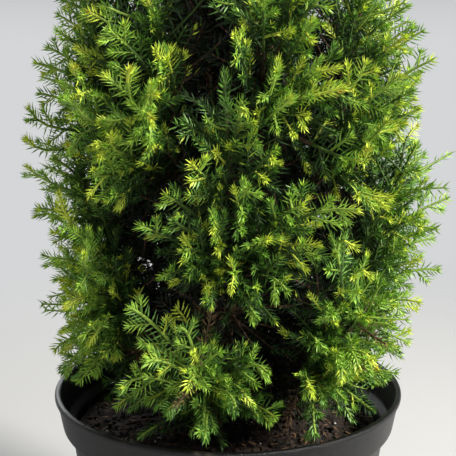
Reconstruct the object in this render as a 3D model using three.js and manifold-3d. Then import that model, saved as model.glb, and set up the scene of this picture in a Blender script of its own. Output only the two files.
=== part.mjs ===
// A young golden Lawson cypress in a black nursery pot, in millimetres, +Z up.
// The origin is the middle of the pot's flat underside. The front of the plant faces -Y.
import * as THREE from "three";
import { mergeVertices } from "three/addons/utils/BufferGeometryUtils.js";
import Module from "manifold-3d";

const wasm = await Module();
wasm.setup();

const GAP = 0.3; // clearance between solids that meet

// The pot.
const POT_HEIGHT = 112;
const RIM_RADIUS = 70.4;
const FOOT_RADIUS = 50;
const FOOT_BEVEL = 1.5;
const POT_WALL = 1.3;
const POT_FLOOR = 2.2;
const FLOOR_FILLET = 1;
const COLLAR_HEIGHT = 14; // the deeper band below the lip
const COLLAR_STEP = 3; // how far the band stands out from the wall
const COLLAR_SLOPE = 1.5;
const LIP_HEIGHT = 2.2;
const LIP_STEP = 0.9;
const LIP_ROUND = 0.5;
const DRAIN_RADIUS = 4.5;
const DRAIN_CIRCLE = 37;
const DRAIN_COUNT = 8;
const DRAIN_SIDES = 10;
const POT_SIDES = 36;

// The compost.
const SOIL_TOP = 97;
const SOIL_FLAT_RADIUS = 22;
const SOIL_EDGE_DROP = 3; // how far the compost falls away where it meets the pot
const SOIL_EDGE_WIDTH = 5;
const SOIL_INSET = POT_WALL + GAP + 0.2;

// The trunk.
const TRUNK_TOP = 322;
const TRUNK_FOOT_RADIUS = 4.4;
const TRUNK_TIP_RADIUS = 1.1;
const TRUNK_TAPER = 0.8;
const TRUNK_LEAN = 5; // how far the top stands to the right of the foot
const TRUNK_SWAY = 2.5;
const TRUNK_SIDES = 8;
const TRUNK_RISES = [3, 8, 20, 50, 90, 135, 180]; // heights of its rings over the compost
const FLARE_RADIUS = 2.2; // extra radius where the trunk spreads into its roots
const FLARE_HEIGHT = 5;

// The crown's outer surface.
const CROWN_FOOT = 108;
const CROWN_WAIST = 201; // height of the widest place
const CROWN_TOP = 380;
const CROWN_RADIUS = 82;
const CROWN_FOOT_INSET = 0.2; // share of its radius that the crown is drawn in by at its foot
const CROWN_POINT = 1.75; // how late the crown narrows to its top: 1 is a plain cone
const CROWN_STEPS = 200;

// Boughs leave the trunk in tiers, at turns in degrees. Each bough runs from a root height on the
// trunk to the foot of its mass's stem, and the stem runs on to the mass's tip; both of these
// places are [radius, height].
const TIERS = [
  { name: "skirt", turns: [14, 72, 128, 180, 258, 316], root: 108, foot: [33, 117], tip: [62, 145] },
  { name: "low", turns: [25, 70, 115, 159, 203, 266, 338], root: 122, foot: [36, 146], tip: [62, 212] },
  { name: "middle", turns: [20, 75, 128, 182, 236, 283, 326], root: 156, foot: [33, 200], tip: [52, 268] },
  { name: "high", turns: [40, 130, 235, 310], root: 205, foot: [20, 254], tip: [34, 318] },
  { name: "crest", turns: [20, 140, 255], root: 258, foot: [9, 302], tip: [16, 352] },
];
const STAGGER = 14; // how much higher every other bough of a tier stands
const RISE_SPREAD = 5;
const REACH_SPREAD = 0.12;
const ROOT_RISE = 0.6; // share of a bough's extra height that its root has
const ROOT_CLIMB = 1.2; // how much higher each next root of a tier is
const TIP_RISE = 1.3;
const LEADER_TIP = 369;
const LEADER_LEAN = 1.5;
const BOUGH_ROOT_RADIUS = 1.75;
const BOUGH_TO_TRUNK = 0.6; // the most that a bough's radius is of the trunk's at its root
const BOUGH_CLIMB = 0.75; // how steeply a bough leaves the trunk
const BOUGH_BENDS = [0.4, 0.35]; // how far the ends of a bough run straight
const BOUGH_STEPS = 3;
const BOUGH_SIDES = 5;
const STEM_FOOT_RADIUS = 1.1;
const STEM_TIP_RADIUS = 0.6;
const TWIG_RADIUS = 0.7;
const TWIG_TAPER = 0.7;
const LIMB_CLEARANCE = 0.8; // how far foliage keeps from limbs that aren't its own

// The masses of foliage.
const UPRIGHTNESS = 0.6; // how much less a height counts than a distance across
const HEART_HALF_WIDTH = 20;
const HEART_HALF_HEIGHT = 0.6; // as a share of its stem's length
const HEART_TAPER = 0.5; // how much a heart narrows towards its top
const HEART_UNEVENNESS = 0.3;
const HEART_STEP = 0.05;
const HEART_SHARE = 0.7; // outer surface of the hearts as a share of the crown's radius
const HEART_MARGIN = 2.5; // how far a heart keeps inside its mass's space
const HEART_FOOT = 2; // how far along its stem a heart begins
const HEART_CLEARANCE = 1; // how far a heart is cut clear of a limb

// The sprays.
const SPRAY_COUNT = 200; // tips spread evenly over the crown
const SPRAY_LENGTH = 38; // length of the longest
const SPRAY_SLIMNESS = 0.27; // half width of a spray over its length
const SPRAY_HALF_THICKNESS = 0.5;
const SPRAY_ARCH = 0.2;
const SPRAY_TWIST = 1.6; // spread of the way that its flat side faces, in radians
const SPRAY_FITS = [[1, 1], [1, 0.75], [0.9, 0.75], [0.8, 0.6], [0.7, 0.6]]; // length, width
const SHORTEST_SPRAY = 13;
const SPRAY_SHARE = 0.85; // the most of its way from the stem that a spray takes up
const SUNK = 5; // how deep the root of a spray is sunk in a heart
const JOINT_SHARE = 0.16; // how far a twig runs into its spray
const TERMINAL_REACH = 13; // how far the last spray stands past its stem's tip
const TERMINAL_ITEM = 1000;
const GROWING_ANGLE = 0.6; // radians between a stem and the twigs that leave it
const TIP_UNEVENNESS = 0.09;
const VALLEY_WIDTH = 12; // how far in from the edge of its space a mass starts to fall away
const VALLEY_DEPTH = 0.1;
const RIB_SHARES = [0.12, 0.42]; // places along the rib that the lobes fan out from
const RIB_TAPER = 0.6;
const LOBE_START = 0.46;
const LOBE_STEP = 0.215;
const LOBE_SHIFT = 0.13; // how much further along the lobes of the second side stand
const NOTCH_BACK = 0.15;
const NOTCH_WIDTHS = [0.38, 0.3];

const GOLDEN_TURN = Math.PI * (3 - Math.sqrt(5));
const UP = new THREE.Vector3(0, 0, 1);

// A repeatable number from 0 to 1 for an item and one of its traits.
function roll(item, trait) {
  const wave = Math.sin(item * 12.9898 + trait * 78.233 + 4.1) * 43758.5453;
  return wave - Math.floor(wave);
}

function mix(a, b, share) {
  return a + (b - a) * share;
}

function around(radius, angle, height) {
  return new THREE.Vector3(radius * Math.cos(angle), radius * Math.sin(angle), height);
}

// The crown's radius at a height: fullest at the waist, drawn in at the foot, pointed at the top.
function crownRadius(height) {
  if (height < CROWN_WAIST) {
    const below = (CROWN_WAIST - height) / (CROWN_WAIST - CROWN_FOOT);
    return CROWN_RADIUS * (1 - CROWN_FOOT_INSET * below * below);
  }
  const above = Math.min(1, (height - CROWN_WAIST) / (CROWN_TOP - CROWN_WAIST));
  return CROWN_RADIUS * (1 - Math.pow(above, CROWN_POINT));
}

// The trunk leans a little to the right and wavers as it climbs.
function trunkPoint(height) {
  const share = (height - SOIL_TOP) / (TRUNK_TOP - SOIL_TOP);
  return new THREE.Vector3(
    TRUNK_LEAN * share + TRUNK_SWAY * Math.sin(share * 5.2),
    0.7 * TRUNK_SWAY * (Math.sin(share * 4.1 + 0.4) - Math.sin(0.4)),
    height,
  );
}

function trunkRadius(height) {
  const share = (height - SOIL_TOP) / (TRUNK_TOP - SOIL_TOP);
  const flare = FLARE_RADIUS * Math.exp(-(height - SOIL_TOP) / FLARE_HEIGHT);
  return mix(TRUNK_FOOT_RADIUS, TRUNK_TIP_RADIUS, Math.pow(share, TRUNK_TAPER)) + flare;
}

// The sideways place of the trunk's axis at a height, and of its top above that.
function axisAt(height) {
  return trunkPoint(Math.min(height, TRUNK_TOP)).setZ(0);
}

// A closed geometry from its corners and its triangles.
function closedGeometry(corners, faces) {
  const geometry = new THREE.BufferGeometry();
  const flat = corners.flatMap((corner) => [corner.x, corner.y, corner.z]);
  geometry.setAttribute("position", new THREE.Float32BufferAttribute(flat, 3));
  geometry.setIndex(faces.flat());
  return geometry;
}

// A limb of round section that tapers along a line of points, with flat ends; the far end is square
// to endWay where that is given.
function limbGeometry(points, radii, sides, endWay = null) {
  const corners = [];
  const faces = [];
  const side = new THREE.Vector3();
  points.forEach((point, row) => {
    const before = points[Math.max(0, row - 1)];
    const after = points[Math.min(points.length - 1, row + 1)];
    const along = after.clone().sub(before).normalize();
    if (endWay && row === points.length - 1) along.copy(endWay);
    if (row === 0) side.crossVectors(along, Math.abs(along.z) > 0.9 ? new THREE.Vector3(0, 1, 0) : UP);
    side.addScaledVector(along, -side.dot(along)).normalize();
    const other = new THREE.Vector3().crossVectors(along, side);
    for (let k = 0; k < sides; k += 1) {
      const angle = (k * 2 * Math.PI) / sides;
      corners.push(
        point
          .clone()
          .addScaledVector(side, radii[row] * Math.cos(angle))
          .addScaledVector(other, radii[row] * Math.sin(angle)),
      );
    }
  });
  for (let row = 0; row + 1 < points.length; row += 1) {
    for (let k = 0; k < sides; k += 1) {
      const a = row * sides + k;
      const b = row * sides + ((k + 1) % sides);
      faces.push([a, b, b + sides], [a, b + sides, a + sides]);
    }
  }
  const last = (points.length - 1) * sides;
  for (let k = 1; k + 1 < sides; k += 1) {
    faces.push([0, k + 1, k], [last, last + k, last + k + 1]);
  }
  return closedGeometry(corners, faces);
}

// One side of a spray's toothed outline, as shares of its length and half width: each side shoot
// is a lobe swept forward to its tip, and a notch follows it.
function sprayEdge(shift, widths) {
  return widths.flatMap((width, lobe) => {
    const at = LOBE_START + shift + lobe * (LOBE_STEP - shift * 0.2);
    return [
      [at, width],
      [at - NOTCH_BACK, NOTCH_WIDTHS[lobe]],
    ];
  });
}

const SPRAY_EDGES = [sprayEdge(0, [1, 0.75]), sprayEdge(LOBE_SHIFT, [0.95, 0.6])];

// A spray of needles as a toothed blade that is thickest at its rib and arches towards one face.
function sprayGeometry(root, tip, face, halfWidth) {
  const length = tip.distanceTo(root);
  const along = tip.clone().sub(root).divideScalar(length);
  const across = new THREE.Vector3().crossVectors(face, along).normalize();
  const out = new THREE.Vector3().crossVectors(along, across);
  const place = (share, width, lift) =>
    root
      .clone()
      .addScaledVector(along, share * length)
      .addScaledVector(across, width * halfWidth)
      .addScaledVector(out, lift + SPRAY_ARCH * length * share * (1 - share));
  const corners = [place(0, 0, 0), place(1, 0, 0)];
  RIB_SHARES.forEach((share, k) => {
    const thick = SPRAY_HALF_THICKNESS * (k ? 1 : RIB_TAPER);
    corners.push(place(share, 0, thick), place(share, 0, -thick));
  });
  const [foot, apex, lowFront, lowBack, highFront, highBack] = corners.keys();
  const faces = [];
  SPRAY_EDGES.forEach((edge, flip) => {
    const first = corners.length;
    edge.forEach(([share, width]) => corners.push(place(share, flip ? -width : width, 0)));
    const chain = [foot, ...edge.map((_, k) => first + k), apex];
    for (let k = 0; k + 1 < chain.length; k += 1) {
      const [front, back] = k < 2 ? [lowFront, lowBack] : [highFront, highBack];
      const [c, d] = flip ? [chain[k], chain[k + 1]] : [chain[k + 1], chain[k]];
      faces.push([front, c, d], [back, d, c]);
    }
    // The strip of rib between the two places, up to the first notch.
    const notch = chain[2];
    faces.push(flip ? [lowFront, notch, highFront] : [lowFront, highFront, notch]);
    faces.push(flip ? [lowBack, highBack, notch] : [lowBack, notch, highBack]);
  });
  return closedGeometry(corners, faces);
}

// A closed geometry with one vertex at each corner.
function sharedCorners(geometry) {
  const bare = geometry.clone();
  bare.deleteAttribute("normal");
  bare.deleteAttribute("uv");
  return mergeVertices(bare, 1e-4);
}

// A closed geometry as a solid, and a solid as a geometry.
function solidOf(geometry) {
  const merged = sharedCorners(geometry);
  return new wasm.Manifold(
    new wasm.Mesh({
      numProp: 3,
      vertProperties: merged.attributes.position.array,
      triVerts: new Uint32Array(merged.index.array),
    }),
  );
}

function geometryOf(solid) {
  const mesh = solid.getMesh();
  const geometry = new THREE.BufferGeometry();
  geometry.setAttribute("position", new THREE.BufferAttribute(mesh.vertProperties, 3));
  geometry.setIndex(new THREE.BufferAttribute(mesh.triVerts, 1));
  return geometry;
}

// The largest closed piece of a solid: this drops loose scraps and fills sealed hollows.
function mainPiece(solid) {
  const pieces = solid.decompose();
  return pieces.reduce((best, piece) => (piece.volume() > best.volume() ? piece : best));
}

// A solid turned round the upright axis from a profile of [radius, height] places.
function turnedSolid(profile) {
  const points = profile.map(([radius, height]) => new THREE.Vector2(radius, height));
  return solidOf(new THREE.LatheGeometry(points, POT_SIDES).rotateX(Math.PI / 2));
}

// The radius of the pot's tapered wall at a height.
function wallRadius(height) {
  return mix(FOOT_RADIUS, RIM_RADIUS - LIP_STEP - COLLAR_STEP, height / POT_HEIGHT);
}

// The pot: a tapered wall with a deeper band and a rolled lip at the top, and holes in its floor.
function potSolid() {
  const band = POT_HEIGHT - COLLAR_HEIGHT;
  const outer = [
    [0, 0],
    [FOOT_RADIUS - FOOT_BEVEL, 0],
    [FOOT_RADIUS, FOOT_BEVEL],
    [wallRadius(band - COLLAR_SLOPE), band - COLLAR_SLOPE],
    [wallRadius(band) + COLLAR_STEP, band],
    [RIM_RADIUS - LIP_STEP, POT_HEIGHT - LIP_HEIGHT],
    [RIM_RADIUS, POT_HEIGHT - LIP_HEIGHT + LIP_ROUND],
    [RIM_RADIUS, POT_HEIGHT - LIP_ROUND],
    [RIM_RADIUS - LIP_ROUND, POT_HEIGHT],
  ];
  const inner = [
    [RIM_RADIUS - LIP_STEP - POT_WALL, POT_HEIGHT],
    [wallRadius(band) + COLLAR_STEP - POT_WALL, band + POT_WALL],
    [wallRadius(band) - POT_WALL, band - POT_WALL],
    [FOOT_RADIUS - POT_WALL, POT_FLOOR + FLOOR_FILLET],
    [FOOT_RADIUS - POT_WALL - FLOOR_FILLET, POT_FLOOR],
    [0, POT_FLOOR],
  ];
  let pot = turnedSolid([...outer, ...inner]);
  for (let k = 0; k < DRAIN_COUNT; k += 1) {
    const centre = around(DRAIN_CIRCLE, (k * 2 * Math.PI) / DRAIN_COUNT, POT_FLOOR / 2);
    const hole = new THREE.CylinderGeometry(DRAIN_RADIUS, DRAIN_RADIUS, POT_FLOOR * 2, DRAIN_SIDES);
    hole.rotateX(Math.PI / 2).translate(centre.x, centre.y, centre.z);
    pot = pot.subtract(solidOf(hole));
  }
  return pot;
}

// The compost fills the pot to a little under its band, flat round the trunk and low at the edge.
function compostSolid() {
  const shoulder = SOIL_TOP - SOIL_EDGE_DROP;
  return turnedSolid([
    [0, POT_FLOOR + GAP],
    [FOOT_RADIUS - SOIL_INSET - FLOOR_FILLET, POT_FLOOR + GAP],
    [FOOT_RADIUS - SOIL_INSET, POT_FLOOR + GAP + FLOOR_FILLET],
    [wallRadius(shoulder) - SOIL_INSET, shoulder],
    [wallRadius(SOIL_TOP) - SOIL_INSET - SOIL_EDGE_WIDTH, SOIL_TOP - SOIL_EDGE_DROP / 4],
    [SOIL_FLAT_RADIUS, SOIL_TOP],
    [0, SOIL_TOP],
  ]);
}

// The trunk from its level cut on the compost to its tip, each radius let out by extra.
function trunkGeometry(extra) {
  const rises = [GAP, ...TRUNK_RISES, TRUNK_TOP - SOIL_TOP];
  const line = rises.map((rise) => trunkPoint(SOIL_TOP + rise));
  const radii = line.map((point) => trunkRadius(point.z) + extra);
  line[0].set(line[1].x, line[1].y, line[0].z);
  return limbGeometry(line, radii, TRUNK_SIDES);
}

// One plan for each mass of foliage: its bough's root on the trunk, and its stem's foot and tip.
function massPlans() {
  const plans = [];
  TIERS.forEach((tier, row) => {
    tier.turns.forEach((turn, k) => {
      const item = row * 10 + k;
      const angle = THREE.MathUtils.degToRad(turn);
      const rise = ((k % 2) - 0.5) * STAGGER + (roll(item, 2) - 0.5) * RISE_SPREAD;
      const reach = 1 + (roll(item, 3) - 0.5) * REACH_SPREAD;
      const place = ([radius, height], share) =>
        around(radius * reach, angle, height + rise * share).add(axisAt(height));
      plans.push({
        name: `${tier.name}_${k + 1}`,
        item,
        angle,
        root: trunkPoint(tier.root + rise * ROOT_RISE + k * ROOT_CLIMB),
        foot: place(tier.foot, 1),
        tip: place(tier.tip, TIP_RISE),
      });
    });
  });
  const foot = trunkPoint(TRUNK_TOP);
  const tip = foot.clone().add(new THREE.Vector3(LEADER_LEAN, 0, LEADER_TIP - TRUNK_TOP));
  plans.push({ name: "leader", item: 99, angle: 0, root: null, foot, tip });
  for (const plan of plans) {
    plan.way = plan.tip.clone().sub(plan.foot).normalize();
    plan.length = plan.tip.distanceTo(plan.foot);
    plan.centre = plan.tip.clone().add(plan.foot).multiplyScalar(0.5);
  }
  return plans;
}

// A bough leaves the trunk outwards, bends upwards and ends in line with its mass's stem.
function boughLine(plan) {
  const span = plan.foot.distanceTo(plan.root);
  const outwards = around(1, plan.angle, BOUGH_CLIMB).normalize();
  return new THREE.CubicBezierCurve3(
    plan.root,
    plan.root.clone().addScaledVector(outwards, span * BOUGH_BENDS[0]),
    plan.foot.clone().addScaledVector(plan.way, -span * BOUGH_BENDS[1]),
    plan.foot,
  ).getPoints(BOUGH_STEPS);
}

// A bough is thickest low on the plant, and always slimmer than the trunk that bears it.
function boughRadii(plan) {
  const thick = Math.min(BOUGH_ROOT_RADIUS, trunkRadius(plan.root.z) * BOUGH_TO_TRUNK);
  return Array.from({ length: BOUGH_STEPS + 1 }, (_, k) => mix(thick, STEM_FOOT_RADIUS, k / BOUGH_STEPS));
}

// The square of the distance between two points, with heights drawn together so that the space
// nearest to a mass stands upright.
function uprightSquare(a, b) {
  return (a.x - b.x) ** 2 + (a.y - b.y) ** 2 + (UPRIGHTNESS * (a.z - b.z)) ** 2;
}

// How far at least a point lies inside a mass's own space, which is nearer to its middle than to
// any other.
function depthInSpace(point, plan, plans) {
  const own = uprightSquare(point, plan.centre);
  const depths = plans
    .filter((other) => other !== plan)
    .map((other) => {
      const apart = Math.sqrt(uprightSquare(other.centre, plan.centre));
      return (uprightSquare(point, other.centre) - own) / (2 * apart);
    });
  return Math.min(...depths);
}

function nearestPlan(point, plans) {
  return plans.reduce((best, plan) =>
    uprightSquare(point, plan.centre) < uprightSquare(point, best.centre) ? plan : best,
  );
}

// Tips spread evenly over the crown by the golden turn. Each lies a little deeper near the edge of
// its mass's space, so that the masses are domed and dark valleys lie between them.
function sprayTips(plans) {
  const heights = Array.from({ length: CROWN_STEPS + 1 }, (_, k) =>
    mix(CROWN_FOOT, CROWN_TOP, k / CROWN_STEPS),
  );
  const areas = [0];
  for (let k = 1; k <= CROWN_STEPS; k += 1) {
    const [below, above] = [crownRadius(heights[k - 1]), crownRadius(heights[k])];
    const slant = Math.hypot(above - below, heights[k] - heights[k - 1]);
    areas.push(areas[k - 1] + (below + above) * slant);
  }
  const tips = [];
  for (let item = 0; item < SPRAY_COUNT; item += 1) {
    const wanted = ((item + 0.5) / SPRAY_COUNT) * areas[CROWN_STEPS];
    const k = areas.findIndex((area) => area >= wanted);
    const height = mix(heights[k - 1], heights[k], (wanted - areas[k - 1]) / (areas[k] - areas[k - 1]));
    const angle = item * GOLDEN_TURN;
    const full = around(crownRadius(height), angle, height).add(axisAt(height));
    const owner = nearestPlan(full, plans);
    const valley = Math.max(0, 1 - depthInSpace(full, owner, plans) / VALLEY_WIDTH);
    const share = 1 - VALLEY_DEPTH * valley - TIP_UNEVENNESS * roll(item, 4);
    tips.push({ item, at: around(crownRadius(height) * share, angle, height).add(axisAt(height)) });
  }
  return tips;
}

// Where a twig leaves its stem so that it grows towards a tip at the plant's own angle.
function twigFoot(plan, tip) {
  const reach = tip.clone().sub(plan.foot);
  const climb = reach.dot(plan.way);
  const aside = Math.sqrt(Math.max(0, reach.lengthSq() - climb * climb));
  const share = (climb - aside / Math.tan(GROWING_ANGLE)) / plan.length;
  return plan.foot.clone().lerp(plan.tip, THREE.MathUtils.clamp(share, 0.05, 0.94));
}

// Points spread over the edges of a geometry's triangles.
function edgePoints(geometry) {
  const position = geometry.attributes.position;
  const index = geometry.index.array;
  const points = [];
  const corner = (k) => new THREE.Vector3().fromBufferAttribute(position, index[k]);
  for (let k = 0; k < index.length; k += 3) {
    for (const [a, b] of [[k, k + 1], [k + 1, k + 2]]) {
      for (const share of [0, 0.25, 0.5, 0.75]) points.push(corner(a).lerp(corner(b), share));
    }
  }
  return points;
}

// Whether points keep clear of the limbs that aren't their own, and of the pot and its compost.
function keepsClear(points, limbs) {
  const hit = new THREE.Vector3();
  return points.every((point) => {
    const radius = Math.hypot(point.x, point.y);
    const overRim = point.z > POT_HEIGHT + LIMB_CLEARANCE;
    const overSoil = radius < RIM_RADIUS - SOIL_EDGE_WIDTH - COLLAR_STEP && point.z > SOIL_TOP + 1;
    if (!overRim && !overSoil && radius < RIM_RADIUS + LIMB_CLEARANCE) return false;
    return limbs.every(({ line, radii }) =>
      line.slice(1).every((end, k) => {
        new THREE.Line3(line[k], end).closestPointToPoint(point, true, hit);
        return hit.distanceTo(point) > Math.max(radii[k], radii[k + 1]) + LIMB_CLEARANCE;
      }),
    );
  });
}

// Whether a point may lie in a mass's heart: in its space, under the crown's surface, beyond the
// foot of its stem and clear of the limbs.
function inHeart(point, plan, plans, limbs) {
  const along = point.clone().sub(plan.foot).dot(plan.way);
  const radius = point.clone().setZ(0).distanceTo(axisAt(point.z));
  return (
    along > HEART_FOOT &&
    radius < crownRadius(point.z) * HEART_SHARE &&
    depthInSpace(point, plan, plans) > HEART_MARGIN &&
    keepsClear([point], limbs)
  );
}

// The dense heart of a mass: a faceted flame round its stem, drawn in to where it may lie.
function heartGeometry(plan, plans, limbs) {
  const lump = sharedCorners(new THREE.OctahedronGeometry(1, 1));
  const position = lump.attributes.position;
  for (let k = 0; k < position.count; k += 1) {
    const way = new THREE.Vector3().fromBufferAttribute(position, k);
    const width = HEART_HALF_WIDTH * (1 - HEART_TAPER * way.z);
    way.multiply(new THREE.Vector3(width, width, plan.length * HEART_HALF_HEIGHT));
    way.multiplyScalar(1 - HEART_UNEVENNESS * roll(plan.item * 50 + k, 6));
    let share = HEART_STEP * 2;
    const place = plan.centre.clone().addScaledVector(way, share);
    while (share < 1) {
      share += HEART_STEP;
      const next = plan.centre.clone().addScaledVector(way, share);
      if (!inHeart(next, plan, plans, limbs)) break;
      place.copy(next);
    }
    position.setXYZ(k, place.x, place.y, place.z);
  }
  return lump;
}

// How far a heart's surface lies from a point outside it, along a direction, or null if it's missed.
function distanceToHeart(heart, point, way) {
  const ray = new THREE.Ray(point, way);
  const position = heart.attributes.position;
  const [a, b, c, hit] = Array.from({ length: 4 }, () => new THREE.Vector3());
  for (let k = 0; k < heart.index.count; k += 3) {
    a.fromBufferAttribute(position, heart.index.array[k]);
    b.fromBufferAttribute(position, heart.index.array[k + 1]);
    c.fromBufferAttribute(position, heart.index.array[k + 2]);
    if (ray.intersectTriangle(a, b, c, true, hit)) return hit.distanceTo(point);
  }
  return null;
}

// A spray from a root towards a tip: its root, tip, face and half width once it fits its space.
function fittedSpray(root, at, item, plan, plans, limbs) {
  const reach = at.clone().sub(root);
  const way = reach.clone().normalize();
  const level = new THREE.Vector3().crossVectors(way, UP).normalize();
  const face = level.applyAxisAngle(way, (roll(item, 5) - 0.5) * SPRAY_TWIST);
  for (const [share, slimmer] of SPRAY_FITS) {
    const tip = root.clone().addScaledVector(reach, share);
    const length = tip.distanceTo(root);
    const halfWidth = length * SPRAY_SLIMNESS * slimmer;
    const points = edgePoints(sprayGeometry(root, tip, face, halfWidth));
    const inSpace = points.every((point) => depthInSpace(point, plan, plans) > GAP);
    if (length > SHORTEST_SPRAY && inSpace && keepsClear(points, limbs)) {
      return { root, tip, face, halfWidth };
    }
  }
  return null;
}

// One mass: a stem with its dense heart, and a spray for each tip in its space. A spray has its root
// sunk in the heart, or else stands on a twig from the stem.
function massSolid(plan, plans, tips, limbs, limbSolids) {
  const start = plan.foot.clone().addScaledVector(plan.way, GAP);
  const stem = limbGeometry([start, plan.tip], [STEM_FOOT_RADIUS, STEM_TIP_RADIUS], 3);
  const heart = heartGeometry(plan, plans, limbs);
  const cleared = limbSolids.reduce((lump, limb) => lump.subtract(limb), solidOf(heart));
  const pieces = [cleared, solidOf(stem)];
  const terminal = plan.tip.clone().addScaledVector(plan.way, TERMINAL_REACH);
  const own = tips.filter((tip) => nearestPlan(tip.at, plans) === plan);
  own.push({ item: TERMINAL_ITEM + plan.item, at: terminal });
  for (const { item, at } of own) {
    const foot = item < TERMINAL_ITEM ? twigFoot(plan, at) : plan.centre;
    const back = foot.clone().sub(at).normalize();
    const bare = distanceToHeart(heart, at, back);
    const longest = Math.min(SPRAY_LENGTH, at.distanceTo(foot) * SPRAY_SHARE);
    const sinks = bare !== null && bare + SUNK < longest;
    const root = at.clone().addScaledVector(back, sinks ? bare + SUNK : longest);
    const spray = fittedSpray(root, at, item, plan, plans, limbs);
    if (!spray) continue;
    if (!sinks) {
      const joint = spray.root.clone().lerp(spray.tip, JOINT_SHARE);
      const twig = limbGeometry([foot, joint], [TWIG_RADIUS, TWIG_RADIUS * TWIG_TAPER], 3);
      if (!keepsClear(edgePoints(twig), limbs)) continue;
      pieces.push(solidOf(twig));
    }
    pieces.push(solidOf(sprayGeometry(spray.root, spray.tip, spray.face, spray.halfWidth)));
  }
  return mainPiece(pieces.reduce((sum, piece) => sum.add(piece)));
}

const BARK = new THREE.MeshStandardMaterial({ color: 0x6e4a35, roughness: 0.9, metalness: 0 });
const NEEDLES = new THREE.MeshStandardMaterial({ color: 0x7fae35, roughness: 0.55, metalness: 0 });
const BLACK_PLASTIC = new THREE.MeshStandardMaterial({ color: 0x141416, roughness: 0.45, metalness: 0 });
const COMPOST = new THREE.MeshStandardMaterial({ color: 0x2a1d15, roughness: 1, metalness: 0 });

const plant = new THREE.Group();

function addPart(name, geometry, material) {
  const mesh = new THREE.Mesh(geometry, material);
  mesh.name = name;
  plant.add(mesh);
}

const plans = massPlans();
const tips = sprayTips(plans);
const trunkClear = solidOf(trunkGeometry(GAP));
const trunkHeights = [SOIL_TOP, ...TRUNK_RISES.map((rise) => SOIL_TOP + rise), TRUNK_TOP];
const trunkLimb = { line: trunkHeights.map(trunkPoint), radii: trunkHeights.map(trunkRadius) };
const limbs = plans
  .filter((plan) => plan.root)
  .map((plan) => ({ plan, line: boughLine(plan), radii: boughRadii(plan) }));
const limbSolids = limbs.map(({ line, radii }) => {
  const wider = radii.map((radius) => radius + HEART_CLEARANCE);
  return solidOf(limbGeometry(line, wider, BOUGH_SIDES));
});
limbSolids.push(solidOf(trunkGeometry(HEART_CLEARANCE)));

addPart("pot", geometryOf(potSolid()), BLACK_PLASTIC);
addPart("compost", geometryOf(compostSolid()), COMPOST);
addPart("trunk", trunkGeometry(0), BARK);
for (const { plan, line, radii } of limbs) {
  const bough = solidOf(limbGeometry(line, radii, BOUGH_SIDES, plan.way)).subtract(trunkClear);
  addPart(`bough_${plan.name}`, geometryOf(mainPiece(bough)), BARK);
}
for (const plan of plans) {
  const others = plan.root ? [trunkLimb, ...limbs] : limbs;
  const mass = massSolid(plan, plans, tips, others, limbSolids);
  addPart(`foliage_${plan.name}`, geometryOf(mass), NEEDLES);
}

export default plant;
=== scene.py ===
"""A young golden Lawson cypress in a black nursery pot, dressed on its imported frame.

Lengths are in millimetres in the frame's axes until a mesh is made. The front faces -Y.
"""

import logging
import math
from dataclasses import dataclass, field
from enum import IntEnum
from typing import Iterator, Optional, Sequence, Union

import bpy
import numpy as np
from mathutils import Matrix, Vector, noise


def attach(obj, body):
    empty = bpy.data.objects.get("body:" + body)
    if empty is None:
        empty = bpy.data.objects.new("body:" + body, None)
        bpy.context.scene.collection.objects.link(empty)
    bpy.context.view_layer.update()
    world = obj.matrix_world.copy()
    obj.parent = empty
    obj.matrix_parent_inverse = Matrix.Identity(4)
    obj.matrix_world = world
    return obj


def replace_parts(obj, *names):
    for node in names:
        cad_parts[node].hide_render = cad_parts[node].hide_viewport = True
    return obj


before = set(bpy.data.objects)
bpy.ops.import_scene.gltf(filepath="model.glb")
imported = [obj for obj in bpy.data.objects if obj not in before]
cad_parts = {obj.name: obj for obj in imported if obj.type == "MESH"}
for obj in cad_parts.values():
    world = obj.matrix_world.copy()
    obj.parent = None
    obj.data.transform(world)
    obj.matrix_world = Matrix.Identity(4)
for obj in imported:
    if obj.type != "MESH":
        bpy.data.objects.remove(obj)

log = logging.getLogger("cypress")

MM = 0.001
UP = np.array((0.0, 0.0, 1.0))
LEVEL = np.array((1.0, 1.0, 0.0))
GOLDEN_TURN = math.pi * (3 - math.sqrt(5))
WHORL_TURN = 2.4
MOST_TRIANGLES = 190_000

Colour = tuple[float, float, float]
Mesh = tuple[np.ndarray, np.ndarray]


# Small geometry


class Trait(IntEnum):
    """What a twig or a mass is varied in, each by its own repeatable number."""

    RISE = 2
    REACH = 3
    TIP = 4
    TWIST = 5
    NOD = 7
    DRY = 8
    LEADER_BEND = 9
    STEM_BEND = 10


def roll(item: int, trait: Trait) -> float:
    """Gives the repeatable number that the plant's source gives.

    Args:
        item: Number of the twig or mass.
        trait: Which of its traits is asked for.

    Returns:
        A number from 0 to 1.
    """
    wave = math.sin(item * 12.9898 + trait * 78.233 + 4.1) * 43758.5453
    return wave - math.floor(wave)


def mix(first: float, second: float, share: float) -> float:
    """Returns the number that lies a share of the way from first to second."""
    return first + (second - first) * share


def clamp(value: float, low: float = 0.0, high: float = 1.0) -> float:
    """Returns value, held between low and high."""
    return max(low, min(high, value))


def unit(vector: np.ndarray) -> np.ndarray:
    """Returns vectors of length one along the last axis of an array."""
    length = np.linalg.norm(vector, axis=-1, keepdims=True)
    return vector / np.maximum(length, 1e-9)


def around(radius: float, angle: float, height: float) -> np.ndarray:
    """Returns the point at a radius and an angle round the upright axis."""
    return np.array((radius * math.cos(angle), radius * math.sin(angle), height))


def turned(vector: np.ndarray, axis: np.ndarray, angle: float) -> np.ndarray:
    """Returns a vector turned about an axis of length one by an angle in radians."""
    c, s = math.cos(angle), math.sin(angle)
    return vector * c + np.cross(axis, vector) * s + axis * np.dot(axis, vector) * (1 - c)


def turns(count: int) -> np.ndarray:
    """Returns the angles of points that lie evenly round a circle."""
    return np.arange(count) * 2 * math.pi / count


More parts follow.
